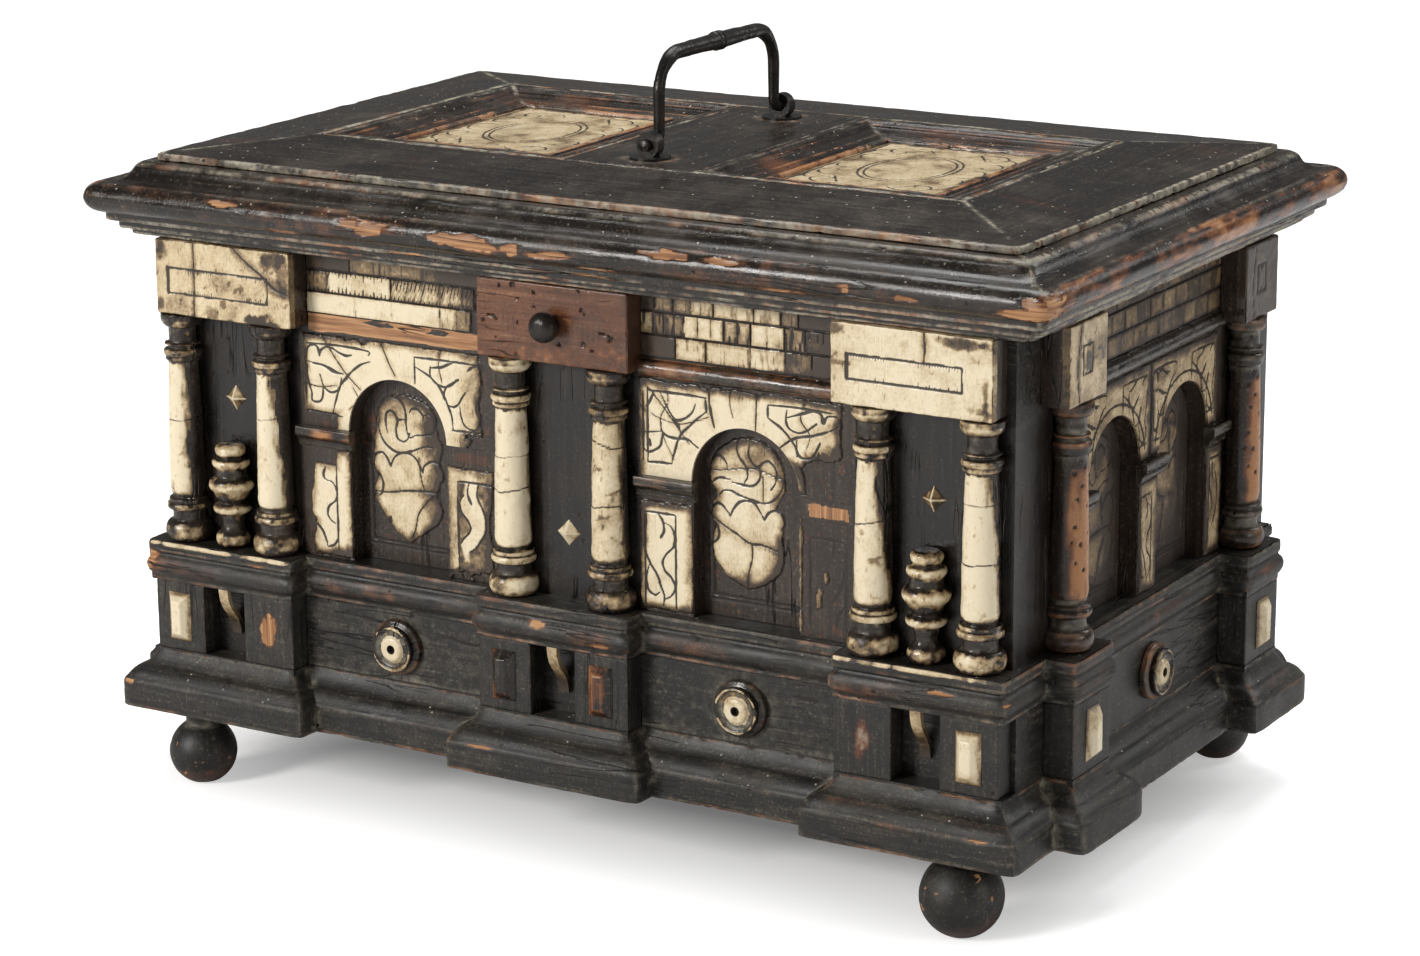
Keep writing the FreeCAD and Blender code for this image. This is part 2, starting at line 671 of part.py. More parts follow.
def base():
    """Base boards, the pedestal blocks above and below, and the dies that stand between them."""
    z = (plinth_bottom, column_bottom)
    node("base_front", box("base_board", (-base_x, base_x), (-base_y, -core_y), z))
    group("base_ends", both_sides([box("base_end", (core_x, base_x), (-core_y, wall_y), z)]))
    side, centre, ends = pedestals("pedestal_base", (plinth_bottom, dado_bottom))
    bored = less("pedestal_base_bored", side, foot_mortice("front", foot_x, front_foot_y))
    group("pedestal_bases", [centre] + both_sides([bored] + ends))
    side, centre, ends = pedestals("pedestal_cap", (surbase_bottom, column_bottom))
    group("pedestal_caps", [centre] + both_sides([side] + ends))
    z = (dado_bottom, surbase_bottom)
    dies = []
    for middle in (-pair_centre, ZERO, pair_centre):
        for sign in SIDES:
            left = middle + sign * column_half - d.die_width / 2
            dies.append(box("front_die", (left, left + d.die_width), (-front_face, -base_y), z))
    group("front_dies", dies)
    ends = [box("end_die", (base_x, end_face), sided(sign, end_inner, end_outer), z) for sign in SIDES]
    group("end_dies", both_sides(ends))


def breaking_moulding(label, profile, z):
    """Sweep a base moulding round the pedestals and part it at the mitres of the front corners."""
    right = [(pair_half, -front_face), (pair_half, -base_y), (pair_inner, -base_y),
             (pair_inner, -front_face), (base_x, -front_face), (base_x, -end_outer), (end_face, -end_outer),
             (end_face, -end_inner), (base_x, -end_inner), (base_x, end_inner), (end_face, end_inner),
             (end_face, end_outer), (base_x, end_outer), (base_x, wall_y)]
    path = [(-x, y) for x, y in reversed(right)] + right
    whole = swept(label + "_moulding", "XZ_Plane", laid(profile, base_x, -1), -wall_y, "XY_Plane", path)
    reach = d.plinth_projection + d.front_die_depth + d.end_die_depth
    front, end = mitred(label, whole, whole, (base_x, front_face), reach, wall_y + reach, z)
    node(label + "_front", front)
    node(label + "_right", end)
    node(label + "_left", mirrored(end))


def base_mouldings():
    """Plinth with fascia, flat round and hollow; surbase with a rounded lower part, a groove and a plate."""
    out = d.plinth_projection
    ovolo = out - d.plinth_arris
    wash = ovolo - d.plinth_ovolo_depth
    breaking_moulding("plinth", [
        (0, plinth_bottom), (out, plinth_bottom), (out, arris_bottom), (ovolo, ovolo_bottom),
        (wash, wash_bottom, d.plinth_ovolo_bulge), (wash - d.plinth_fillet, wash_bottom),
        (0, dado_bottom, -d.plinth_hollow)], (plinth_bottom, dado_bottom))
    foot = d.surbase_foot
    groove = d.surbase_groove
    lip = d.surbase_lip
    breaking_moulding("surbase", [
        (0, surbase_bottom), (foot, surbase_bottom), (foot, groove_bottom, d.surbase_bulge),
        (groove, groove_bottom), (groove, plate_bottom), (lip, plate_bottom), (lip, column_bottom),
        (0, column_bottom)], (surbase_bottom, column_bottom))


def dado_trim():
    """Lozenges on the dies, turned bosses between the pedestals and scroll consoles in the gaps."""
    middle = (dado_bottom + surbase_bottom) / 2
    bevel = 2 * d.lozenge_rise
    lozenge = hip("lozenge", d.lozenge_width, d.lozenge_height, d.lozenge_rise,
                  d.lozenge_width - bevel, d.lozenge_height - bevel)
    bone = copied_both(lozenge, (pair_centre + column_half, -front_face, middle))
    for sign in SIDES:
        bone += copied_both(lozenge, (end_face, sign * end_centre, middle), FRONT_TO_RIGHT, FRONT_TO_LEFT)
    group("bone_lozenges", bone)
    group("wood_lozenges", copied_both(lozenge, (column_half, -front_face, middle)))

    radius = d.boss_radius
    deep = d.boss_depth
    edge = d.boss_round
    disc = turned("boss_disc", [(0, 0), (radius, 0), (radius, deep - edge),
                                (radius - edge, deep, edge * QUARTER_RISE), (0, deep)])
    face = d.boss_ring_depth
    sunk = face - d.boss_groove
    rim = d.boss_eye_radius + 2 * d.boss_groove
    ring = turned("boss_ring", [(d.boss_hole_radius, 0), (d.boss_ring_radius, 0), (d.boss_ring_radius, sunk),
                                (d.boss_ring_radius - d.boss_groove, face), (rim, face),
                                (rim - d.boss_groove / 2, sunk),
                                (d.boss_eye_radius + d.boss_groove / 2, sunk),
                                (d.boss_eye_radius, face), (d.boss_hole_radius, face)])
    for label, piece, stand in (("boss_discs", disc, ZERO), ("boss_rings", ring, deep)):
        front = copied_both(piece, (bay_centre, -base_y - stand, middle), FACE_FRONT, FACE_FRONT)
        ends = copied_both(piece, (base_x + stand, ZERO, middle), FACE_RIGHT, FACE_LEFT)
        group(label, front + ends)

    console = scroll()
    group("scroll_consoles", [copied(console, (0, 0, 0))] + copied_both(console, (pair_centre, 0, 0)))


def scroll():
    """An S-shaped strip of two equal arcs that falls from the surbase and ends flat on the base board."""
    bow = d.scroll_bow
    half = d.scroll_thickness / 2
    turn = math.radians(SCROLL_TURN)
    bulge = 1 - math.cos(turn / 2)
    across = 2 * (1 - math.cos(turn)) * bow
    top = surbase_bottom
    front = -base_y - half - across
    centre = (front + bow, top)

    def middle(radius):
        return (centre[0] - radius * math.cos(turn), top - radius * math.sin(turn))
    rear = -base_y - half
    low = top - 2 * math.sin(turn) * bow
    outline = [(front + half, top, -bulge * (bow - half)), (front - half, top),
               middle(bow + half) + (bulge * (bow + half),), (rear - half, low, -bulge * (bow - half)),
               (rear + half, low), middle(bow - half) + (bulge * (bow + half),)]
    return padded("scroll", "YZ_Plane", outline, -d.scroll_width / 2, d.scroll_width)


def arch_notch(centre):
    """Corners of one arched opening, walked from left to right along the sill."""
    left = centre - arch_half
    right = centre + arch_half
    return [(left, column_bottom), (left, spring), (right, spring, -arch_half), (right, column_bottom)]


def arcades():
    """Pier panels behind the columns and the arched panels between them."""
    z = (column_bottom, frieze_line)
    side = box("pier_side", (bay_outer, wall_x), (-wall_y, -core_y), z)
    centre = box("pier_centre", (-pier_half, pier_half), (-wall_y, -core_y), z)
    near = box("pier_end_front", (core_x, wall_x), (-core_y, -end_bay), z)
    far = box("pier_end_rear", (core_x, wall_x), (end_bay, wall_y), z)
    group("pier_panels", [centre] + both_sides([side, near, far]))

    def panel(low, high, notches):
        top = [(high, column_bottom), (high, frieze_line), (low, frieze_line)]
        return [(low, column_bottom)] + notches + top
    outline = panel(pier_half, bay_outer, arch_notch(bay_centre))
    front = padded("arcade", "XZ_Plane", outline, core_y, d.facing)
    node("arcade_front_right", front)
    node("arcade_front_left", mirrored(front))
    notches = arch_notch(-end_arch) + arch_notch(end_arch)
    end = padded("end_arcade", "YZ_Plane", panel(-end_bay, end_bay, notches), core_x, d.facing)
    node("arcade_right_end", end)
    node("arcade_left_end", mirrored(end))


def cartouches():
    """Bone shields in the niches: a round head, a drawn-in waist and a belly that runs to a point."""
    half = d.cartouche_width / 2
    waist = d.cartouche_waist_width / 2
    head = d.cartouche_head_width / 2
    shoulder = d.cartouche_height - head
    hollow = (head - waist) / 2
    belly = half - waist
    outline = [(0, 0, belly), (half, d.cartouche_belly, belly), (waist, d.cartouche_waist, hollow),
               (head, shoulder, -hollow), (-head, shoulder, head), (-waist, d.cartouche_waist, -hollow),
               (-half, d.cartouche_belly, hollow)]
    shield = padded("cartouche", "XZ_Plane", outline, 0, d.bone_thickness)
    sill = column_bottom + d.cartouche_rise
    plates = copied_both(shield, (bay_centre, -core_y, sill))
    for sign in SIDES:
        plates += copied_both(shield, (core_x, sign * end_arch, sill), FRONT_TO_RIGHT, FRONT_TO_LEFT)
    group("niche_cartouches", plates)


def imposts_and_beads():
    """The imposts and beads still in place: on the front two imposts and one bead are lost."""
    low = spring - d.impost_height
    plate = spring - d.impost_plate
    profile = [(0, low), (d.impost_foot, low), (d.impost_projection, plate), (d.impost_projection, spring),
               (0, spring)]
    lip = d.impost_overhang
    front = [front_run("impost", profile, (-bay_outer, -bay_centre - arch_half + lip)),
             front_run("impost", profile, (pier_half, bay_centre - arch_half + lip))]
    edge = end_arch + arch_half - lip
    inner = end_arch - arch_half + lip
    ends = [end_run("end_impost", profile, y)
            for y in ((-end_bay, -edge), (-inner, inner), (edge, end_bay))]
    group("imposts", front + both_sides(ends))
    bead = [(0, frieze_line), (0, frieze_line + d.bead_height, d.bead_height / 2)]
    front = front_run("bead", bead, (lock_half, block_inner))
    end = end_run("end_bead", bead, (-end_inner, end_inner))
    group("beads", [front] + both_sides([end]))


def entablature():
    """Frieze boards, bone frieze plates, the blocks over the columns and the plain block with the knob."""
    z = (frieze_line, case_top)
    front = box("frieze_front", (-wall_x, wall_x), (-wall_y, -core_y), z)
    end = box("frieze_end", (core_x, wall_x), (-core_y, wall_y), z)
    group("frieze_boards", [less("frieze_bored", front, spindle_hole("frieze"))] + both_sides([end]))
    z = (frieze_line + d.bead_height, case_top)
    front = box("plate_front", (lock_half, block_inner), (-wall_y - d.bone_thickness, -wall_y), z)
    end = box("plate_end", (wall_x, wall_x + d.bone_thickness), (-end_inner, end_inner), z)
    group("frieze_plates", both_sides([front, end]))
    z = (block_bottom, case_top)
    front = box("block_front", (block_inner, block_outer), (-wall_y - d.block_projection, -wall_y), z)
    group("frieze_blocks_front", both_sides([front]))
    x = (wall_x, wall_x + d.block_projection)
    ends = [box("block_end", x, sided(sign, end_inner, end_outer), z) for sign in SIDES]
    group("frieze_blocks_end", both_sides(ends))
    lock = box("lock", (-lock_half, lock_half), (-wall_y - d.lock_block_projection, -wall_y), z)
    node("lock_block", less("lock_bored", lock, spindle_hole("lock")))


def planed(name, body, radius, high):
    """Plane a turned piece flat where it meets the pier."""
    return less(name + "_planed", body, box(name + "_plane", (-radius, radius), (d.column_stand, radius),
                                            (ZERO, high)))


def columns():
    """Turned columns: torus, hollow, thick and thin rings, shaft, rings, collar, neck and capital."""
    high = d.column_height
    torus = d.torus_radius - d.torus_bulge
    ring = d.ring_radius - d.ring_bulge
    astragal = d.astragal_radius - d.ring_bulge
    torus_top = d.torus_height
    ring_low = torus_top + d.scotia_height
    thin_low = ring_low + d.ring_height
    shaft_low = thin_low + d.thin_ring_height
    capital_low = high - d.capital_height
    neck_low = capital_low - d.column_neck_height
    collar_low = neck_low - d.collar_height
    astragal_top = collar_low - d.collar_gap
    astragal_low = astragal_top - d.astragal_height
    shaft_top = astragal_low - d.thin_ring_height
    low_ring = d.shaft_foot_radius + d.thin_ring_reach
    top_ring = d.shaft_top_radius + d.thin_ring_reach / 2
    neck = d.column_neck_radius
    column = turned("column", [
        (0, 0), (torus, 0), (torus, torus_top, d.torus_bulge), (d.scotia_radius, torus_top),
        (d.scotia_radius, ring_low), (ring, ring_low), (ring, thin_low, d.ring_bulge),
        (low_ring, thin_low), (low_ring, shaft_low, d.thin_ring_bulge), (d.shaft_foot_radius, shaft_low),
        (d.shaft_radius, shaft_low + d.shaft_swelling_height, d.shaft_foot_bulge),
        (d.shaft_top_radius, shaft_top, d.shaft_bulge), (top_ring, shaft_top),
        (top_ring, astragal_low, d.thin_ring_bulge), (astragal, astragal_low),
        (astragal, astragal_top, d.ring_bulge), (neck, astragal_top), (neck, collar_low),
        (d.collar_radius, collar_low), (d.collar_radius, neck_low), (neck, neck_low), (neck, capital_low),
        (d.capital_foot_radius, capital_low),
        (d.capital_radius, high - d.capital_plate, d.capital_bulge), (d.capital_radius, high), (0, high)])
    column = planed("column", column, d.torus_radius + d.column_stand, high)
    front = [copied(column, (middle + sign * column_half, -wall_y - d.column_stand, column_bottom))
             for middle in (-pair_centre, ZERO, pair_centre) for sign in SIDES]
    group("columns_front", front)
    ends = []
    for sign in SIDES:
        place = (wall_x + d.column_stand, sign * end_centre, column_bottom)
        ends += copied_both(column, place, FRONT_TO_RIGHT, FRONT_TO_LEFT)
    group("columns_ends", ends)


def urns():
    """Turned urns: rings, stems and flares stacked with a fillet between them."""
    stem = d.urn_stem_radius
    cap = d.urn_cap_radius

    def ring(radius, tall):
        return (radius - tall / 4, radius - tall / 4, tall, tall / 4)
    members = (ring(d.urn_foot_radius, d.urn_foot_height), (stem, stem, d.urn_stem_height),
               ring(d.urn_collar_radius, d.urn_collar_height), (stem, d.urn_body_radius, d.urn_body_height),
               ring(d.urn_ring_radius, d.urn_ring_height), (cap, cap, d.urn_cap_height),
               ring(d.urn_collar_radius, d.urn_collar_height), (stem, cap, d.urn_bud_height),
               (cap, stem, d.urn_bud_height))
    outline = [(0, 0)]
    top = -d.urn_step
    for low, high, tall, *bulge in members:
        bottom = top + d.urn_step
        top = bottom + tall
        outline += [(low, bottom), (high, top, *bulge)]
    outline.append((0, top))
    urn = planed("urn", turned("urn", outline), d.urn_ring_radius + d.column_stand, top)
    group("urns", copied_both(urn, (pair_centre, -wall_y - d.column_stand, column_bottom)))


def studs():
    stud = hip("stud", d.stud_side, d.stud_side, d.stud_rise, d.stud_point, d.stud_point)
    level = column_bottom + d.stud_level
    group("diamond_studs", copied_both(stud, (pair_centre, -wall_y, level), ON_POINT, ON_POINT)
          + [copied(stud, (0, -wall_y, column_bottom + d.low_stud_level), ON_POINT)])


def frame_members(label, profile, reach):
    """Mitred members of a frame round the lid: writes the front and the back, returns the right end."""
    front = front_run(label + "_front_run", profile, (-wall_x - reach, wall_x + reach))
    end = end_run(label + "_end_run", profile, (-wall_y - reach, wall_y + reach))
    front, right = mitred(label, front, end, (wall_x, wall_y), reach, wall_y, (lid_bottom, field_top))
    node(label + "_front", front)
    node(label + "_back", mirrored(front, (0, 1, 0)))
    return right


def lid():
    """A mitred cornice round a board, with sloping borders, a middle rail and two framed bone panels."""
    holes = [rod("board_hole", d.shank_diameter, d.lid_board_thickness, (0, sign * staple_y, lid_under))
             for sign in SIDES]
    board = box("lid_core", (-inner_x, inner_x), (-inner_y, inner_y), (lid_under, cornice_top))
    node("lid_board", less("lid_core_bored", board, *holes))

    inset = d.facing + d.board
    step = d.fascia_projection + d.fillet_step
    upper_step = step + d.fillet_step
    nose = upper_step + d.nose_step
    cove_end = upper_step - d.cove_width
    ledge = cove_end - d.ovolo_width
    cornice = [
        (-inset, lid_bottom), (d.fascia_projection, lid_bottom), (d.fascia_projection, step_bottom),
        (step, step_bottom), (step, upper_step_bottom), (upper_step, upper_step_bottom),
        (upper_step, nose_bottom), (nose, nose_bottom), (nose, nose_top, d.nose_bulge),
        (upper_step, nose_top), (cove_end, cove_top, -d.cove_depth),
        (ledge, cornice_top, d.ovolo_height / 4), (-inset, cornice_top)]
    right = frame_members("cornice", cornice, nose + d.nose_bulge + inset)
    node("cornice_right", right)
    node("cornice_left", mirrored(right))

    out = d.slope_overhang
    back = out - d.slope_width
    slope = [(out, cornice_top), (out, edge_top), (back, field_top), (back, cornice_top)]
    right = frame_members("slope", slope, d.slope_width)
    group("slope_ends", both_sides([right]))

    field_x = wall_x + back
    field_y = wall_y + back
    rail = d.centre_rail_width / 2
    holes = [rod("rail_hole", d.shank_diameter, field_top - cornice_top, (0, sign * staple_y, cornice_top))
             for sign in SIDES]
    rail_board = box("rail", (-rail, rail), (-field_y, field_y), (cornice_top, field_top))
    node("centre_rail", less("rail_bored", rail_board, *holes))
    frame = panel_frame(rail, field_x, field_y)
    node("panel_frame_right", frame)
    node("panel_frame_left", mirrored(frame))
    width = d.frame_width
    panel = box("panel", (rail + width, field_x - width), (-field_y + width, field_y - width),
                (cornice_top, cornice_top + d.panel_thickness))
    group("bone_panels", both_sides([panel]))


def panel_frame(low_x, high_x, half_y):
    """A frame whose section falls from a flat rim over a bevel and a slope to a bead beside the panel."""
    width = d.frame_width
    panel_top = cornice_top + d.panel_thickness
    slope_top = field_top - d.frame_step_drop
    inner = width - d.frame_bead
    section = [(0, cornice_top), (0, field_top), (-d.frame_rim, field_top),
               (-d.frame_rim - d.frame_step, slope_top), (-inner, panel_top),
               (-inner, panel_top + d.frame_bead_rise), (-width, panel_top + d.frame_bead_rise),
               (-width, cornice_top)]
    path = [(high_x, 0), (high_x, half_y), (low_x, half_y), (low_x, -half_y), (high_x, -half_y)]
    return swept("panel_frame", "XZ_Plane", laid(section, high_x, 1), 0, "XY_Plane", path, closed=True)


def bail():
    """A bent rod with a swelling grip; its ends turn outwards through the eyes of two staples."""
    half = d.bail_span / 2
    foot = d.bail_foot_bend
    bend = d.bail_grip_bend
    low = bail_pivot
    high = bail_pivot + d.bail_rise
    end = staple_y + d.eye_width / 2 + d.pintle_end
    outward = QUARTER_RISE * foot
    inward = -QUARTER_RISE * bend
    path = [(-end, low), (-half - foot, low), (-half, low + foot, outward), (-half, high - bend),
            (-half + bend, high, inward), (half - bend, high), (half, high - bend, inward),
            (half, low + foot), (half + foot, low, outward), (end, low)]
    radius = d.bail_rod / 2
    section = [(radius, low, radius), (-radius, low, radius)]
    bent = swept("bail_bent", "XZ_Plane", section, end, "YZ_Plane", path)
    long = half - bend
    swell = d.bail_swelling / 2
    ring = d.bail_ring / 2
    gap = d.bail_ring_gap / 2
    ring_end = gap + d.bail_ring_length
    grip = turned("bail_turning", [
        (0, -long), (radius, -long), (swell, -ring_end, d.bail_barrel), (ring, -ring_end), (ring, -gap),
        (swell, -gap), (swell, gap), (ring, gap), (ring, ring_end), (swell, ring_end),
        (radius, long, d.bail_barrel), (0, long)])
    put(grip, (0, 0, high), FACE_FRONT)
    node("bail_handle", fused("bail_joined", bent, grip))


def staples():
    """Iron eyes over round plates, on shanks that pass through rail and lid board and are clenched below."""
    bore = d.bail_rod + 2 * d.running_clearance
    made = []
    for sign in SIDES:
        middle = sign * staple_y
        place = (0, middle + d.eye_width / 2, bail_pivot)
        ring = rod("eye", d.eye_diameter, d.eye_width, place, FACE_FRONT)
        shank = rod("shank", d.shank_diameter, bail_pivot - lid_under, (0, middle, lid_under))
        rove = rod("rove", d.rove_diameter, d.rove_thickness, (0, middle, lid_under - d.rove_thickness))
        plate = rod("staple_plate", d.staple_plate_diameter, d.staple_plate_thickness, (0, middle, field_top))
        hole = rod("eye_hole", bore, d.eye_width, place, FACE_FRONT)
        made.append(less("staple", fused("staple_solid", ring, shank, rove, plate), hole))
    group("handle_staples", made)


def hinges():
    """Two butt hinges behind the back: lower leaves on the wall, upper leaves under the lid moulding."""
    bore = d.pin_diameter + 2 * d.running_clearance
    leaf = d.hinge_leaf
    barrel = d.barrel_diameter
    long = d.hinge_length
    knuckle = d.hinge_knuckle
    plate_top = hinge_z - barrel / 2 - d.knuckle_gap
    leaf_y = (wall_y, wall_y + leaf)
    tab_y = (wall_y, hinge_y)
    upper_y = hinge_y - barrel / 2
    axis = (hinge_y, hinge_z)
    lower = []
    upper = []
    pins = []
    for sign in SIDES:
        start = sign * d.hinge_offset - long / 2
        stop = start + long
        pieces = [box("lower_leaf", (start, stop), leaf_y, (hinge_z - d.hinge_leaf_height, plate_top))]
        for low in (start, stop - knuckle):
            x = (low, low + knuckle)
            tab_top = hinge_z + leaf / 2
            pieces.append(box("lower_tab", x, leaf_y, (plate_top, tab_top)))
            pieces.append(box("lower_wrap", x, tab_y, (hinge_z - leaf / 2, tab_top)))
            pieces.append(rod("lower_knuckle", barrel, knuckle, (low,) + axis, FACE_RIGHT))
        hole = rod("lower_hole", d.pin_diameter, long, (start,) + axis, FACE_RIGHT)
        lower.append(less("lower_hinge", fused("lower_joined", *pieces), hole))
        low = start + knuckle + d.knuckle_gap
        high = stop - knuckle - d.knuckle_gap
        plate = box("upper_leaf", (start, stop), (upper_y, upper_y + d.upper_leaf_width),
                    (lid_bottom - leaf, lid_bottom))
        tab = box("upper_tab", (low, high), (upper_y, upper_y + barrel), (hinge_z, lid_bottom - leaf))
        middle = rod("upper_knuckle", barrel, high - low, (low,) + axis, FACE_RIGHT)
        hole = rod("upper_hole", bore, long, (start,) + axis, FACE_RIGHT)
        upper.append(less("upper_hinge", fused("upper_joined", plate, tab, middle), hole))
        pins.append(rod("pin", d.pin_diameter, long, (start,) + axis, FACE_RIGHT))
    group("hinge_leaves_lower", lower)
    group("hinge_leaves_upper", upper)
    group("hinge_pins", pins)


def catch():
    """Mushroom knob on a spindle, a hooked cam inside the front, and the keeper that hangs from the lid."""
    face = wall_y + d.lock_block_projection
    cam_front = inner_y - d.cam_gap
    cam_back = cam_front - d.cam_thickness
    spindle = d.spindle_diameter / 2
    collar_top = d.cam_gap + d.knob_collar
    head_low = collar_top + d.knob_neck_length
    rim_top = head_low + d.knob_rim
    knob = turned("knob", [
        (0, cam_back - face), (spindle, cam_back - face), (spindle, d.cam_gap),
        (d.knob_collar_radius, d.cam_gap), (d.knob_collar_radius, collar_top),
        (d.knob_neck_radius, collar_top), (d.knob_neck_radius, head_low),
        (d.knob_radius, head_low), (d.knob_radius, rim_top),
        (d.knob_crown_radius, rim_top + d.knob_dome, d.knob_bulge), (0, rim_top + d.knob_dome)])
    node("lock_knob", put(knob, (0, -face, spindle_z), FACE_FRONT))

    def polar(radius, angle):
        return (radius * math.cos(math.radians(angle)), spindle_z + radius * math.sin(math.radians(angle)))

    def rise(radius, turn):
        return radius * (1 - math.cos(math.radians(turn / 2)))
    hub = d.cam_hub
    inner = d.hook_inner
    outer = d.hook_outer
    outline = [polar(hub, HOOK_WEB) + (-rise(hub, HOOK_ROOT - HOOK_WEB + 360),), polar(outer, HOOK_WEB),
               polar(outer, HOOK_TIP) + (-rise(outer, HOOK_WEB - HOOK_TIP),), polar(inner, HOOK_TIP),
               polar(inner, HOOK_ROOT) + (rise(inner, HOOK_ROOT - HOOK_TIP),), polar(hub, HOOK_ROOT)]
    plate = padded("cam", "XZ_Plane", outline, cam_back, d.cam_thickness)
    hole = rod("cam_hole", d.spindle_diameter, d.cam_thickness, (0, -cam_back, spindle_z), FACE_FRONT)
    node("latch_cam", less("cam_bored", plate, hole))

    half = d.keeper_width / 2
    plate_y = d.cam_gap - cam_back
    pin_z = spindle_z + d.keeper_pin_height
    leg = box("keeper_leg", (-half, half), (plate_y, plate_y + d.keeper_thickness),
              (pin_z - d.keeper_pin_diameter, lid_under))
    foot = box("keeper_flange", (-half, half), (plate_y, plate_y + d.keeper_foot),
               (lid_under - d.keeper_thickness, lid_under))
    pin_length = d.cam_gap + d.cam_thickness
    pin = rod("keeper_pin", d.keeper_pin_diameter, pin_length, (0, plate_y, pin_z), FACE_FRONT)
    node("latch_keeper", fused("keeper_joined", leg, foot, pin))


def build():
    carcass()
    feet()
    base()
    base_mouldings()
    dado_trim()
    arcades()
    cartouches()
    imposts_and_beads()
    entablature()
    columns()
    urns()
    studs()
    lid()
    bail()
    staples()
    hinges()
    catch()
    doc.recompute()


def check_and_write():
    """Refuse a failed feature or a bad solid, then write one file for each node."""
    for thing in doc.Objects:
        if "Invalid" in thing.State or "Error" in thing.State:
            raise RuntimeError("failed: %s %s" % (thing.Name, thing.State))
    for label, thing in nodes.items():
        if thing.Shape.isNull() or not thing.Shape.isValid() or not thing.Shape.Solids:
            raise RuntimeError("bad shape: " + label)
    os.makedirs("parts", exist_ok=True)
    for label, thing in nodes.items():
        thing.Shape.exportStep("parts/%s.step" % label)
        print(label, len(thing.Shape.Solids), round(thing.Shape.Volume))
    print(len(nodes), "nodes")


build()
check_and_write()
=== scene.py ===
"""Dress the casket in worn ebonised wood, engraved bone and iron, in the light of a plain studio.

Lengths are millimetres in the frame of the solids; a mesh is written in metres.
"""
import functools
import math

import bmesh
import bpy
import numpy as np
from mathutils import Matrix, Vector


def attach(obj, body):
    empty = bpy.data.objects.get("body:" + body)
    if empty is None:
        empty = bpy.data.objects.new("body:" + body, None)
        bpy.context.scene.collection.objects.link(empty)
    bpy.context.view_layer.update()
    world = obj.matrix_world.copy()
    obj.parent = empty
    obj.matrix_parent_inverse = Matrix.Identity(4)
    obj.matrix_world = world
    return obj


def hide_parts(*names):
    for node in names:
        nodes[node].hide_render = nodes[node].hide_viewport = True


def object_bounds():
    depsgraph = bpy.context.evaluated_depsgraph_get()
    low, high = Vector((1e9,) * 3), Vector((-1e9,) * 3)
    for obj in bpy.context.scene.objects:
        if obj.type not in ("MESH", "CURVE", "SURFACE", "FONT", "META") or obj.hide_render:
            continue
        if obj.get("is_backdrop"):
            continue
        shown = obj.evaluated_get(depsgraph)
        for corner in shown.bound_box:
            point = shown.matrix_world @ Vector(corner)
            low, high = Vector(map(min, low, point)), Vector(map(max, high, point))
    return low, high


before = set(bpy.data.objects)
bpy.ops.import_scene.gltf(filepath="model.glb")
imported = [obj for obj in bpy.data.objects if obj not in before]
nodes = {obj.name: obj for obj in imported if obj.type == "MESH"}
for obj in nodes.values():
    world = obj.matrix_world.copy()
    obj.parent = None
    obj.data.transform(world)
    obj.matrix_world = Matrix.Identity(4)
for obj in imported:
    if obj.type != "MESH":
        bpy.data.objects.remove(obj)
cad_low, cad_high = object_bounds()

MM = 0.001
WALL_X, WALL_Y = 198.5, 119.5
CORE_X, CORE_Y = 190.5, 111.5
BASE_X, BASE_Y = 202.0, 123.0
FRONT_FACE, END_FACE = 134.0, 215.0
PLINTH, DADO, SURBASE = 33.0, 58.5, 88.5
SILL, SPRING, FRIEZE = 106.0, 162.0, 201.5
BLOCK, CASE_TOP = 204.5, 236.5
LID, NOSE, CORNICE_TOP, EDGE_TOP, FIELD_TOP = 236.7, 246.8, 267.0, 270.0, 274.7
PAIR, PAIR_HALF, COLUMN_HALF = 164.5, 35.5, 23.0
BAY, BAY_WIDTH, ARCH = 82.25, 97.5, 24.0
END_CENTRE, END_INNER, END_OUTER, END_BAY, END_ARCH = 83.0, 66.5, 99.5, 72.5, 33.0
BLOCK_IN, BLOCK_OUT, LOCK_HALF = 126.0, 195.0, 35.25
BEAD_HIGH = 8.5
IMPOST_LOW = SPRING - 8.5
COLUMN_STAND = 5.5
BONE_THICK = 1.0
GROUND_THICK = 0.25
FIELD_X, FIELD_Y = 151.0, 72.0
RAIL_HALF, PANEL_X, PANEL_HALF = 30.5, 90.75, 60.25
BLOCK_DEEP, LOCK_DEEP = 12.5, 11.0
NICHE_HALF, NICHE_RISE = 23.7, SPRING - SILL
MID_DADO = (DADO + SURBASE) / 2
STRIP, STRIP_HIGH = BAY_WIDTH / 2 - ARCH, IMPOST_LOW - SILL
WELD, SLIVER = 3e-6, 1e-7
SHARP = math.radians(38)
UPRIGHT = ((1, 0, 0), (0, 1, 0), (0, 0, 1))
FRONT_AXES = ((1, 0, 0), (0, 0, 1), (0, -1, 0))
RIGHT_AXES = ((0, 1, 0), (0, 0, 1), (1, 0, 0))
LEFT_AXES = ((0, -1, 0), (0, 0, 1), (-1, 0, 0))


# Noise and lines

def hashed(ix, iy, iz, seed):
    """Lattice corners to even values from -1 to 1: multiply by large odd numbers, shift and mask."""
    h = (ix * 374761393 + iy * 668265263 + iz * 1442695041 + seed * 974711) & 0xFFFFFFFF
    h = ((h ^ (h >> 13)) * 1274126177) & 0xFFFFFFFF
    return ((h ^ (h >> 16)) & 0xFFFF) / 32767.5 - 1.0


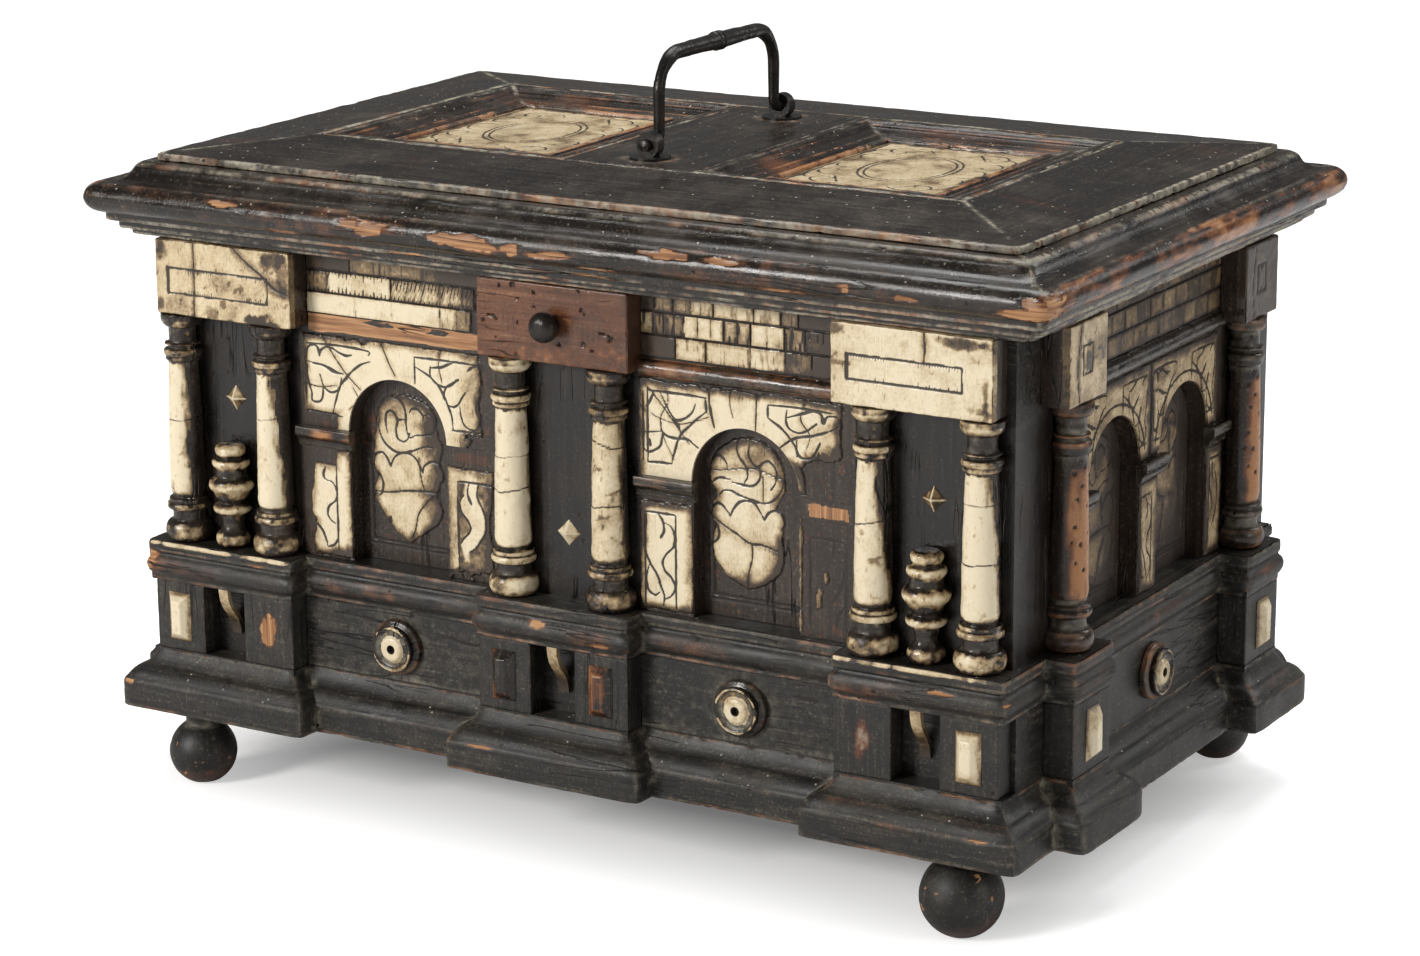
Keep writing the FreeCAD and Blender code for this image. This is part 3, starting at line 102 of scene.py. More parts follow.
def noise(p, size, seed):
    """Value noise: lattice values of this size, blended by s*s*(3 - 2s) along each axis."""
    q = p / size
    cell = np.floor(q).astype(np.int64)
    s = q - cell
    s = s * s * (3 - 2 * s)
    total = 0.0
    for corner in np.ndindex(2, 2, 2):
        weight = 1.0
        for axis, far in enumerate(corner):
            weight = weight * (s[..., axis] if far else 1 - s[..., axis])
        c = cell + np.array(corner)
        total = total + weight * hashed(c[..., 0], c[..., 1], c[..., 2], seed)
    return total


def rough(p, size, seed):
    """Three noises of halving size and strength, added up."""
    return sum(noise(p, size / 2 ** k, seed + 31 * k) / 2 ** k for k in range(3))


def unit(value):
    """The value kept from 0 to 1."""
    return np.clip(value, 0, 1)


def bell(value, width):
    """1 at 0, falling off to both sides as exp(-(value / width)^2)."""
    return np.exp(-(value / width) ** 2)


def least(*values):
    """The least of several arrays, place by place."""
    return functools.reduce(np.minimum, values)


def most(*values):
    """The greatest of several arrays, place by place."""
    return functools.reduce(np.maximum, values)


def ease(value, low, high):
    """0 below low, 1 above high, s*s*(3 - 2s) between."""
    s = unit((value - low) / (high - low))
    return s * s * (3 - 2 * s)


def field(q, seed):
    """Broad and fine noise over a flat field; the seed sets fields apart."""
    place = np.concatenate([q, np.full(q.shape[:-1] + (1,), seed * 13.0)], -1)
    return rough(place, 11, seed), rough(place, 2.6, seed + 4)


def stacked(*columns):
    """Columns spread to one shape and set side by side as coordinates."""
    return np.stack(np.broadcast_arrays(*columns), -1)


def walked(line):
    """How far along a line each of its points lies."""
    return np.concatenate([[0], np.cumsum(np.linalg.norm(np.diff(line, axis=0), axis=1))])


def drawn(points, closed=False):
    """A smooth line through given points: Catmull-Rom with eight steps to a span."""
    p = np.array(points, float)
    if closed:
        p = np.vstack([p[-1:], p, p[:2]])
    else:
        p = np.vstack([2 * p[:1] - p[1:2], p, 2 * p[-1:] - p[-2:-1]])
    t = np.linspace(0, 1, 8, endpoint=False)[None, :, None]
    a, b, c, d = (p[k:len(p) - 3 + k, None, :] for k in range(4))
    square = (2 * a - 5 * b + 4 * c - d) * t ** 2
    cube = (3 * b - a - 3 * c + d) * t ** 3
    spans = 0.5 * (2 * b + (c - a) * t + square + cube)
    return np.vstack([spans.reshape(-1, p.shape[1]), p[-2:-1]])


def listed(row):
    """The points of one row of text, each x,y or x,y,width."""
    return [([float(v) for v in point.split(",")] + [1.0])[:3] for point in row.split()]


def strokes(text, centre=(0.0, 0.0), scale=(1.0, 1.0), taper=0.45):
    """Graver strokes, one to a row of points: smooth lines that thin out towards both ends."""
    made = []
    for row in text.strip().splitlines():
        line = drawn(listed(row))
        far = walked(line[:, :2])
        far = far / far[-1]
        line[:, 2] *= taper + (1 - taper) * least(1, 4 * least(far, 1 - far))
        line[:, :2] = (line[:, :2] - centre) * scale
        made.append(line)
    return made


def straight(*points):
    """A line from point to point, of width 1."""
    return np.array([tuple(point) + (1.0,) for point in points])


def arc(centre, radius, start, stop):
    """Part of a circle between two angles in degrees."""
    a = np.radians(np.linspace(start, stop, 40))
    return stacked(centre[0] + radius * np.cos(a), centre[1] + radius * np.sin(a), 1.0)


def away(q, lines):
    """Least distance from each point to the lines over their width there, worked out in slices."""
    a = np.vstack([line[:-1] for line in lines])
    b = np.vstack([line[1:] for line in lines])
    start = a[:, :2]
    d = b[:, :2] - start
    square = most((d * d).sum(1), 1e-9)
    flat = q.reshape(-1, 2)
    found = []
    for part in np.array_split(flat, max(1, len(flat) // 3000)):
        gap = part[:, None, :] - start
        t = unit((gap * d).sum(2) / square)
        far = np.sqrt(((gap - t[..., None] * d) ** 2).sum(2))
        found.append((far / most(a[:, 2] + (b[:, 2] - a[:, 2]) * t, 0.05)).min(1))
    return np.concatenate(found).reshape(q.shape[:-1])


def within(q, outline):
    """Whether each point lies in a closed outline: count the sides that a ray to the right crosses."""
    inside = np.zeros(q.shape[:-1], bool)
    for a, b in zip(outline, np.roll(outline, -1, axis=0)):
        if a[1] == b[1]:
            continue
        crosses = (a[1] > q[..., 1]) != (b[1] > q[..., 1])
        inside ^= crosses & (q[..., 0] < (b[0] - a[0]) * (q[..., 1] - a[1]) / (b[1] - a[1]) + a[0])
    return inside


def cut(q, lines, width):
    """1 on the lines and 0 past their width, which wavers as a hand-held graver does."""
    wide = width * (1 + 0.3 * field(q, 7)[1])
    return 1 - ease(away(q, lines) / wide, 0.3, 0.75)


def framed(q, low, high):
    """Distance inside a rectangle from its nearest side."""
    return least(q[..., 0] - low[0], high[0] - q[..., 0], q[..., 1] - low[1], high[1] - q[..., 1])


# Surfaces

def traced(points, spacing, rounds, closed=True):
    """Walk an outline of (out, up[, rise]) corners at an even spacing and ease its corners by averaging.

    A stretch with a rise is the arc of that sagitta to the right of the way. Also returned is the bend at
    each sample: above 0 on arrises, below 0 in hollows.
    """
    walk = []
    count = len(points)
    for i in range(count if closed else count - 1):
        a = np.array(points[i][:2], float)
        stop = points[(i + 1) % count]
        b = np.array(stop[:2], float)
        chord = np.linalg.norm(b - a)
        t = np.linspace(0, 1, max(3, int(chord / 0.15)), endpoint=False)
        along = t * chord
        bow = np.zeros_like(t)
        if len(stop) > 2:
            rise = abs(stop[2])
            radius = (chord ** 2 / 4 + rise ** 2) / (2 * rise)
            half = 2 * math.atan(2 * rise / chord)
            angle = (2 * t - 1) * half
            along = chord / 2 + radius * np.sin(angle)
            bow = math.copysign(1, stop[2]) * (radius * np.cos(angle) - radius + rise)
        way = (b - a) / chord
        walk.append(a + along[:, None] * way + bow[:, None] * np.array([way[1], -way[0]]))
    walk.append(np.array([points[0][:2] if closed else points[-1][:2]], float))
    line = np.vstack(walk)
    far = walked(line)
    even = np.linspace(0, far[-1], max(8, int(far[-1] / spacing)))
    line = np.stack([np.interp(even, far, line[:, k]) for k in (0, 1)], 1)
    if closed:
        line = line[:-1]
    for _ in range(rounds):
        before = np.roll(line, 1, axis=0)
        after = np.roll(line, -1, axis=0)
        eased = (before + 2 * line + after) / 4
        if not closed:
            eased[0], eased[-1] = line[0], line[-1]
        line = eased
    d = np.roll(line, -1, axis=0) - line
    heading = np.arctan2(d[:, 1], d[:, 0])
    bend = (heading - np.roll(heading, 1) + np.pi) % (2 * np.pi) - np.pi
    if not closed:
        bend[0] = bend[-1] = bend[-2] = 0
    wide = sum(np.roll(bend, k) for k in (-2, -1, 0, 1, 2))
    return line, np.clip(wide / 1.1, -1, 1)


def run(outline, path, step, spacing, ends=None, loop=False, corner=0.8, rounds=2):
    """Carry a section along a plan, blending the mitred offsets of its corners so that mitres stay true.

    Near an outer corner the section draws in by corner * exp(-(s / 2)^2), as a rubbed arris does.
    """
    line, bend = traced(outline, spacing, rounds)
    path = np.array(path, float)
    if loop:
        path = np.vstack([path, path[:1]])
    d = np.diff(path, axis=0)
    long = np.linalg.norm(d, axis=1)
    d = d / long[:, None]
    normal = np.stack([d[:, 1], -d[:, 0]], 1)
    before = np.vstack([normal[-1:] if loop else normal[:1], normal])
    after = np.vstack([normal, normal[:1] if loop else normal[-1:]])
    mitre = (before + after) / (1 + (before * after).sum(1))[:, None]
    turn = before[:, 0] * after[:, 1] - before[:, 1] * after[:, 0]
    outer = list(np.nonzero(turn > 0.5)[0])
    inner = list(np.nonzero(turn < -0.5)[0])
    if ends is not None:
        mitre[0], mitre[-1] = ends
        outer += [k for k, end in ((0, ends[0]), (len(path) - 1, ends[1])) if abs(end[0] * end[1]) > 0.5]
    stations = []
    mitres = []
    along = []
    start = np.concatenate([[0], np.cumsum(long)])
    for k, span in enumerate(long):
        t = np.linspace(0, 1, max(2, int(span / step)) + 1)
        if k + 1 < len(long) or loop:
            t = t[:-1]
        stations.append(path[k] + (path[k + 1] - path[k]) * t[:, None])
        mitres.append(mitre[k] + (mitre[k + 1] - mitre[k]) * t[:, None])
        along.append(start[k] + span * t)
    stations = np.vstack(stations)
    mitres = np.vstack(mitres)
    along = np.concatenate(along)
    near, hollow = (np.min([np.abs(along - start[k]) for k in found] + [np.full(len(along), 1e3)], axis=0)
                    for found in (outer, inner))
    shown = (line[:, 0] > 0)[:, None]
    out = line[:, :1] - corner * bell(near, 2) * shown
    p = stacked(stations[:, 0] + out * mitres[:, 0], stations[:, 1] + out * mitres[:, 1], line[:, 1:])
    edge = np.repeat(bend[:, None], len(along), 1)
    edge = most(edge, bell(near, 2.5) * shown * 0.9)
    edge = edge - 1.2 * bell(hollow, 2) * shown
    uv = stacked(along[None, :], walked(line)[:, None])
    return {"p": p, "uv": uv, "edge": np.clip(edge, -1, 1), "wrap_u": True, "wrap_v": loop, "caps": not loop}


def lathe(outline, place, axes, count, spacing, flat=None):
    """Turn (radius, height) points: (r cos a, r sin a, h) on the given axes, planed where y passes flat."""
    line, bend = traced(outline, spacing, 1, closed=False)
    a = np.linspace(0, 2 * np.pi, count, endpoint=False)
    local = stacked(line[:, :1] * np.cos(a), line[:, :1] * np.sin(a), line[:, 1:])
    if flat is not None:
        local[..., 1] = least(local[..., 1], flat)
    uv = stacked(walked(line)[:, None], 8 * np.abs(a / np.pi - 1)[None, :])
    return {"p": np.array(place, float) + local @ np.array(axes, float), "uv": uv, "local": local,
            "edge": np.repeat(bend[:, None], count, 1), "wrap_v": True}


def spaced(low, high, radius, step):
    """Samples of one side of a block: close together in its rounded edges and even between them."""
    near = radius * np.array([0, 0.15, 0.38, 0.66])
    middle = np.linspace(low + radius, high - radius, max(2, int((high - low) / step) + 1))
    return np.concatenate([low + near, middle, high - near[::-1]])


def block(low, high, radius, step, grain):
    """Six grids of a block whose points lie at the radius from the inner box: q + r (p - q) / |p - q|."""
    low, high = np.array(low, float), np.array(high, float)
    patches = []
    for axis in range(3):
        across = [k for k in range(3) if k != axis]
        u, v = (spaced(low[k], high[k], radius, step[k]) for k in across)
        for face in (low[axis], high[axis]):
            p = np.empty((len(u), len(v), 3))
            p[..., across[0]] = u[:, None]
            p[..., across[1]] = v[None, :]
            p[..., axis] = face
            q = np.clip(p, low + radius, high - radius)
            way = (p - q) / np.linalg.norm(p - q, axis=2)[..., None]
            edge = np.clip((1 - np.abs(way).max(2)) / 0.29, 0, 1.3)
            uv = np.stack([p[..., grain], p[..., (grain + 1) % 3] + p[..., (grain + 2) % 3]], 2)
            patches.append({"p": q + radius * way, "uv": uv, "edge": edge, "way": way,
                            "face": (axis, face > low[axis])})
    return patches


def border(v):
    """The values round a grid's border, once round."""
    return np.concatenate([v[0, :-1], v[:-1, -1], v[-1, :0:-1], v[:0:-1, 0]])


def plate(x, y, origin, axes, height, values):
    """A closed thin plate: a front grid lifted along the third axis by its height, a rim and a flat back."""
    axes = np.array(axes, float)
    back = np.array(origin, float) + x[..., None] * axes[0] + y[..., None] * axes[1]
    front = back + height[..., None] * axes[2]
    values = {key: np.broadcast_to(value, x.shape) for key, value in values.items()}
    rim = {key: np.stack([border(value)] * 2) for key, value in values.items()}
    rim["ink"] = np.full_like(rim["bone"], 0.4)
    return [dict(values, p=front, uv=np.stack([y, x], 2)),
            dict(rim, p=np.stack([border(front), border(back)]), wrap_v=True, close=True)]


# Meshes

ATTRIBUTES = ("bone", "ink", "stain", "wear", "raw", "dust")


def normals(patch):
    """Unit normals of a grid from its differences: d/dv x d/du."""
    p = patch["p"]
    du = np.roll(p, -1, 0) - np.roll(p, 1, 0) if patch.get("wrap_u") else np.gradient(p, axis=0)
    dv = np.roll(p, -1, 1) - np.roll(p, 1, 1) if patch.get("wrap_v") else np.gradient(p, axis=1)
    n = np.cross(dv, du)
    return n / most(np.linalg.norm(n, axis=2), 1e-9)[..., None]


def placed(name, data):
    """A new object in the scene."""
    made = bpy.data.objects.new(name, data)
    bpy.context.scene.collection.objects.link(made)
    return made


def piece(name, body, material, patches, replaced=()):
    """Write grids as one welded mesh with its attributes and its own UV map, and let it ride on a body."""
    points, faces, uvs = [], [], []
    values = {key: [] for key in ATTRIBUTES}
    first = 0
    for patch in patches:
        p = patch["p"]
        rows, columns = p.shape[:2]
        index = first + np.arange(rows * columns).reshape(rows, columns)
        down = np.vstack([index, index[:1]]) if patch.get("wrap_u") else index
        both = np.hstack([down, down[:, :1]]) if patch.get("wrap_v") else down
        quads = np.stack([both[:-1, :-1], both[:-1, 1:], both[1:, 1:], both[1:, :-1]], 2).reshape(-1, 4)
        faces += quads.tolist()
        if patch.get("caps"):
            faces += [index[:, 0].tolist(), index[::-1, -1].tolist()]
        if patch.get("close"):
            faces.append(index[-1].tolist())
        points.append(p.reshape(-1, 3))
        uvs.append(patch.get("uv", p[..., :2]).reshape(-1, 2))
        for key in ATTRIBUTES:
            values[key].append(np.broadcast_to(patch.get(key, 0.0), (rows, columns)).ravel())
        first += rows * columns
    points = np.clip(np.vstack(points) * MM, np.array(cad_low), np.array(cad_high))
    uvs = np.vstack(uvs) * MM
    mesh = bpy.data.meshes.new(name)
    mesh.from_pydata(points.tolist(), [], faces)
    for key in ATTRIBUTES:
        layer = mesh.attributes.new(key, "FLOAT", "POINT")
        layer.data.foreach_set("value", np.concatenate(values[key]).astype(np.float32))
    corner = np.empty(len(mesh.loops), np.int32)
    mesh.loops.foreach_get("vertex_index", corner)
    mesh.uv_layers.new(name="grain").data.foreach_set("uv", uvs[corner].astype(np.float32).ravel())
    work = bmesh.new()
    work.from_mesh(mesh)
    bmesh.ops.remove_doubles(work, verts=work.verts, dist=WELD)
    bmesh.ops.dissolve_degenerate(work, edges=work.edges, dist=SLIVER)
    bmesh.ops.recalc_face_normals(work, faces=work.faces)
    work.to_mesh(mesh)
    work.free()
    mesh.polygons.foreach_set("use_smooth", np.ones(len(mesh.polygons), bool))
    mesh.set_sharp_from_angle(angle=SHARP)
    mesh.materials.append(material)
    made = placed(name, mesh)
    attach(made, body)
    if replaced:
        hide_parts(*replaced)


def worn(node, body, material, patches):
    """A piece in the place of one node, named after it."""
    piece(node + "_worn", body, material, patches, [node])


def lay(patch, key, value, top=1):
    """Add to an attribute, kept from 0 to top."""
    patch[key] = np.clip(patch[key] + value, 0, top)


def rub(patch, seed, wear, dust=0.7, dent=0.1, arris=0.45):
    """Worn wood: rub-through on convex places where noise is high, and dents that only go inwards.

    Dust lies in hollows and thinly all over, and arrises are made pale here and there: painted highlights on
    the arrises, laid with the dust.
    """
    p = patch["p"]
    edge = patch["edge"]
    broad = rough(p, 38, seed)
    fine = rough(p, 5, seed + 3)
    patch["wear"] = unit(wear * unit(edge) * (0.40 + 0.6 * broad + 0.5 * fine))
    patch["dust"] = unit(dust * unit(-edge * 1.3) * (0.6 + 0.6 * fine + 0.4 * broad))
    # Painted highlight: pale streaks on the convex arrises, added to the dust.
    bright = ease(edge, 0.4, 0.8) * unit(0.6 + 0.8 * rough(p, 16, seed + 11) + 0.4 * fine)
    patch["dust"] = patch["dust"] + arris * bright + 0.1 * unit(1.2 * fine + 0.5 * broad - 0.1)
    way = patch.get("way")
    if way is None:
        way = normals(patch)
    nick = ease(rough(p, 3.4, seed + 8), 0.45, 0.9) * unit(edge)
    sunk = dent * (0.4 + 0.4 * fine + 0.5 * broad) + 0.3 * patch["wear"] * unit(edge) + 0.5 * nick
    patch["p"] = p - way * unit(sunk)[..., None]
    return patch


def chip(patch, marks, seed, depth=0.7):
    """Splinters broken off: ragged ellipsoids (centre, radii) of raw wood, sunk by the depth."""
    p = patch["p"]
    ragged = 0.6 * rough(p, 5, seed) + 0.6 * rough(p * (0.3, 1, 1), 1.6, seed + 5)
    found = np.full(p.shape[:2], -1.0)
    for centre, radii in marks:
        found = most(found, 1 - np.linalg.norm((p - centre) / radii, axis=2))
    raw = ease(found + 0.55 * ragged * (found > -0.5), 0.06, 0.16)
    patch["raw"] = most(patch.get("raw", 0.0), raw)
    frayed = ease(found + 0.5 * ragged * (found > -0.7), -0.25, 0.15)
    patch["wear"] = most(patch["wear"], 0.7 * frayed)
    patch["p"] = p - normals(patch) * (raw * depth)[..., None]
    return patch


# Materials

class Graph:
    """Short words for building the nodes of a material or a world."""

    def __init__(self, owner):
        owner.use_nodes = True
        self.owner = owner
        self.tree = owner.node_tree
        self.tree.nodes.clear()
        self.place = self.add("ShaderNodeTexCoord").outputs

    def add(self, kind, **inputs):
        made = self.tree.nodes.new(kind)
        for key, value in inputs.items():
            self.feed(made.inputs[key.replace("_", " ")], value)
        return made

    def feed(self, socket, value):
        if isinstance(value, bpy.types.NodeSocket):
            self.tree.links.new(value, socket)
        else:
            socket.default_value = value

    def attribute(self, name):
        made = self.add("ShaderNodeAttribute")
        made.attribute_name = name
        return made.outputs["Fac"]

    def scaled(self, vector, scale):
        return self.add("ShaderNodeMapping", Vector=vector, Scale=scale).outputs[0]

    def part(self, vector, axis):
        return self.add("ShaderNodeSeparateXYZ", Vector=vector).outputs[axis]

    def noise(self, vector, scale, detail, rough=0.55, warp=0.0):
        made = self.add("ShaderNodeTexNoise", Vector=vector, Scale=scale, Detail=detail, Roughness=rough,
                        Distortion=warp)
        return made.outputs["Fac"]

    def dots(self, vector, scale, radius, above):
        """Round spots about the points of some cells of a Voronoi pattern."""
        cells = self.add("ShaderNodeTexVoronoi", Vector=vector, Scale=scale)
        picked = self.add("ShaderNodeSeparateColor", Color=cells.outputs["Color"]).outputs[0]
        return self.times(self.between(cells.outputs["Distance"], radius * 1.15, radius * 0.85),
                          self.sum("GREATER_THAN", picked, above))

    def sum(self, kind, a, b=0.0, clamp=False):
        made = self.add("ShaderNodeMath")
        made.operation = kind
        made.use_clamp = clamp
        self.feed(made.inputs[0], a)
        self.feed(made.inputs[1], b)
        return made.outputs[0]

    def plus(self, a, b, clamp=False):
        return self.sum("ADD", a, b, clamp)

    def times(self, a, b):
        return self.sum("MULTIPLY", a, b)

    def about(self, value, strength):
        """A noise made to swing about 0 with this strength."""
        return self.times(self.sum("SUBTRACT", value, 0.5), strength)

    def between(self, value, low, high, to_low=0.0, to_high=1.0):
        made = self.add("ShaderNodeMapRange", Value=value)
        for index, number in enumerate((low, high, to_low, to_high), 1):
            self.feed(made.inputs[index], number)
        return made.outputs[0]

    def ramp(self, value, places, colours):
        made = self.add("ShaderNodeValToRGB", Fac=value)
        bar = made.color_ramp.elements
        while len(bar) < len(colours):
            bar.new(0.5)
        for element, place, colour in zip(bar, places, colours):
            element.position = place
            element.color = tuple(colour) + (1.0,)
        return made.outputs["Color"]

    def mix(self, share, a, b):
        made = self.add("ShaderNodeMix")
        made.data_type = "RGBA"
        self.feed(made.inputs[0], share)
        for socket, value in ((made.inputs[6], a), (made.inputs[7], b)):
            self.feed(socket, value if isinstance(value, bpy.types.NodeSocket) else tuple(value) + (1.0,))
        return made.outputs[2]

    def bump(self, height, distance, strength):
        return self.add("ShaderNodeBump", Height=height, Distance=distance, Strength=strength).outputs[0]

    def finish(self, colour, rough, normal, **fixed):
        shader = self.add("ShaderNodeBsdfPrincipled", Base_Color=colour, Roughness=rough, Normal=normal,
                          **fixed)
        self.add("ShaderNodeOutputMaterial", Surface=shader.outputs[0])
        return self.owner


BLACK = ((0.0042, 0.0030, 0.0023), (0.0140, 0.0096, 0.0070), (0.040, 0.0265, 0.0175))
DEEP = ((0.0030, 0.0022, 0.0018), (0.0088, 0.0064, 0.0050), (0.026, 0.0180, 0.0125))
GREY = ((0.0042, 0.0036, 0.0031), (0.0145, 0.0122, 0.0101), (0.044, 0.036, 0.028))
BROWN = ((0.050, 0.018, 0.009), (0.135, 0.050, 0.021), (0.24, 0.100, 0.042))
GROUND = ((0.012, 0.0078, 0.0055), (0.030, 0.0195, 0.0135), (0.062, 0.042, 0.030))
TURNED = ((0.0055, 0.0040, 0.0032), (0.018, 0.0120, 0.0085), (0.050, 0.032, 0.021))
DULL = ((0.012, 0.0085, 0.0062), (0.026, 0.0180, 0.0130), (0.048, 0.034, 0.024))
RUBBED = ((0.040, 0.0145, 0.0075), (0.135, 0.047, 0.017), (0.37, 0.165, 0.060))
RAW = ((0.115, 0.044, 0.017), (0.34, 0.160, 0.066), (0.60, 0.35, 0.165))
BONE = ((0.75, 0.650, 0.465), (0.56, 0.440, 0.265), (0.225, 0.150, 0.074), (0.042, 0.027, 0.0165))
BONE_STOPS = (0.08, 0.34, 0.58, 0.85)
SCALE = ((0.012, 0.011, 0.0105), (0.026, 0.022, 0.019), (0.062, 0.038, 0.023))
INK = (0.016, 0.0105, 0.0075)
DUST_AND_SHEEN_COLOUR = (0.34, 0.305, 0.232)
FLECK = (0.50, 0.46, 0.38)
PIT = (0.0022, 0.0018, 0.0015)


def dressed(name, wood, along=None, gloss=(0.17, 0.46), holes=0.7, haze=1.0):
    """Worn wood with bone on it: each layer is laid over the last by the mesh's attributes.

    The grain is noise drawn out along U of the piece's map, or along one axis of the object where the map
    is lacking. Specks of dust lie on the faces that look up.
    """
    g = Graph(bpy.data.materials.new(name))
    solid = g.place["Object"]
    mapped = g.place["UV"]
    if along is None:
        grain = g.scaled(mapped, (16.0, 420.0, 1.0))
        split = g.scaled(mapped, (9.0, 120.0, 1.0))
    else:
        grain = g.scaled(solid, tuple(16.0 if axis == along else 420.0 for axis in range(3)))
        split = g.scaled(solid, tuple(9.0 if axis == along else 120.0 for axis in range(3)))
    streak = g.noise(grain, 1.0, 8.0, 0.7, 0.2)
    blotch = g.noise(solid, 34.0, 5.0, 0.62)
    speck = g.noise(solid, 820.0, 3.0, 0.6)
    tone = g.plus(g.times(streak, 0.75), g.times(blotch, 0.6))
    tone = g.plus(tone, g.about(speck, 0.45))
    colour = g.ramp(tone, (0.46, 0.68, 0.90), wood)
    ragged = g.plus(g.about(streak, 0.9), g.about(speck, 0.5))
    wear = g.plus(g.attribute("wear"), g.times(ragged, 0.55))
    colour = g.mix(g.between(wear, 0.18, 0.50), colour, g.ramp(wear, (0.25, 0.6, 1.0), RUBBED))
    crack = g.sum("ABSOLUTE", g.sum("SUBTRACT", g.noise(split, 1.0, 3.0, 0.5, 0.3), 0.5))
    crack = g.times(g.between(crack, 0.010, 0.003), g.between(g.noise(solid, 17.0, 2.0), 0.54, 0.62))
    # The pale layer from the mesh holds dust and also the painted highlights laid on arrises.
    dust = g.times(g.attribute("dust"), g.between(g.noise(solid, 260.0, 4.0, 0.7), 0.35, 0.7))
    up = g.between(g.part(g.place["Normal"], 2), 0.35, 0.9)
    flecks = g.times(g.dots(solid, 420.0, 0.2, 0.93), up)
    film = g.times(g.times(up, g.between(blotch, 0.45, 0.75)), 0.04)
    bloom = g.plus(g.times(streak, 0.55), g.times(speck, 0.45))
    film = g.plus(film, g.between(bloom, 0.54, 0.70, 0.0, 0.20 * haze))
    film = g.plus(film, g.between(speck, 0.62, 0.74, 0.0, 0.16 * haze))
    colour = g.mix(g.plus(g.times(dust, 0.8), film, True), colour, DUST_AND_SHEEN_COLOUR)
    colour = g.mix(g.times(flecks, 0.85), colour, FLECK)
    raw = g.between(g.plus(g.attribute("raw"), g.times(ragged, 0.3)), 0.42, 0.58)
    colour = g.mix(raw, colour, g.ramp(streak, (0.34, 0.5, 0.66), RAW))
    bone = g.between(g.plus(g.attribute("bone"), g.about(speck, 0.35)), 0.44, 0.56)
    bare = g.sum("SUBTRACT", 1.0, bone)
    rim = g.times(g.dots(solid, 120.0, 0.125, holes), bare)
    bored = g.times(g.dots(solid, 120.0, 0.085, holes), bare)
    colour = g.mix(g.times(rim, g.between(speck, 0.45, 0.6, 0.0, 0.55)), colour, RAW[0])
    mottle = g.noise(solid, 95.0, 6.0, 0.68)
    pore = g.between(g.noise(g.scaled(mapped, (240.0, 1500.0, 1.0)), 1.0, 3.0, 0.6), 0.58, 0.74)
    stain = g.plus(g.plus(g.attribute("stain"), g.about(mottle, 0.75)),
                   g.plus(g.about(speck, 0.42), g.times(pore, 0.34)))
    colour = g.mix(bone, colour, g.ramp(stain, BONE_STOPS, BONE))
    ink = g.between(g.plus(g.attribute("ink"), g.about(mottle, 0.3)), 0.28, 0.68)
    colour = g.mix(g.times(ink, 0.96), colour, INK)
    gone = g.sum("MAXIMUM", bored, g.times(crack, bare))
    colour = g.mix(gone, colour, PIT)
    shine = g.between(g.plus(g.about(streak, 0.5), blotch), 0.25, 0.75, gloss[0], gloss[1])
    shine = g.plus(shine, g.times(g.plus(g.plus(raw, dust), ink), 0.22), True)
    relief = g.plus(g.times(streak, 0.8), g.times(speck, 0.7))
    relief = g.sum("SUBTRACT", g.times(relief, g.between(bone, 0.0, 1.0, 1.0, 0.4)), g.times(gone, 4.0))
    return g.finish(colour, shine, g.bump(relief, 0.00015, 0.9), Specular_IOR_Level=0.5)


def iron(name):
    """Forged iron: black scale, brown bloom and hammer marks."""
    g = Graph(bpy.data.materials.new(name))
    solid = g.place["Object"]
    bloom = g.noise(solid, 120.0, 6.0, 0.65)
    grit = g.noise(solid, 900.0, 3.0, 0.6)
    colour = g.ramp(bloom, (0.35, 0.6, 0.8), SCALE)
    marks = g.plus(g.noise(solid, 210.0, 2.0, 0.5), g.times(grit, 0.25))
    return g.finish(colour, g.between(grit, 0.3, 0.7, 0.24, 0.44), g.bump(marks, 0.0006, 0.6), Metallic=0.5)


def console_bone(name):
    """Bone of the scroll consoles, which have no attributes: brown by noise, browner towards the foot."""
    g = Graph(bpy.data.materials.new(name))
    solid = g.place["Object"]
    mottle = g.noise(solid, 190.0, 5.0, 0.68)
    speck = g.noise(solid, 900.0, 3.0, 0.6)
    low = g.between(g.part(solid, 2), 0.070, 0.081, 0.5, 0.0)
    shade = g.plus(g.plus(g.about(mottle, 0.8), g.about(speck, 0.3)), g.plus(low, 0.46))
    colour = g.ramp(shade, BONE_STOPS, BONE)
    return g.finish(colour, g.between(speck, 0.3, 0.7, 0.34, 0.52), g.bump(speck, 0.0001, 0.5))


EBONY = dressed("ebonised_wood", BLACK, None, (0.13, 0.42))
MATT = dressed("ebonised_base", GREY, None, (0.38, 0.66))
EBONY_X = dressed("ebonised_boards_x", GREY, 0, (0.30, 0.58))
EBONY_Y = dressed("ebonised_boards_y", GREY, 1, (0.30, 0.58))
# The pier panels get the darkest wood and little pale film: black wood, and painted shade on them.
EBONY_Z = dressed("ebonised_boards_z", DEEP, 2, holes=0.45, haze=0.4)
ARCADE = dressed("arcade_wood", GROUND, holes=0.9)
END_BONE = dressed("end_bone", GROUND, None, (0.45, 0.7), holes=0.9)
ARCADE_Z = dressed("arcade_boards", GROUND, 2, holes=0.9)
BROWN_WOOD = dressed("brown_wood", BROWN, holes=0.8)
COLUMN_WOOD = dressed("column_wood", TURNED, holes=0.6)
# The carcass boards are dark and have little pale film: aged wood, and painted shade at the end grain of the
# corners.
CARCASS_X = dressed("carcass_boards_x", DULL, 0, (0.55, 0.75), haze=0.3)
CARCASS_Z = dressed("carcass_boards_z", DULL, 2, (0.55, 0.75), haze=0.3)
IRON = iron("forged_iron")

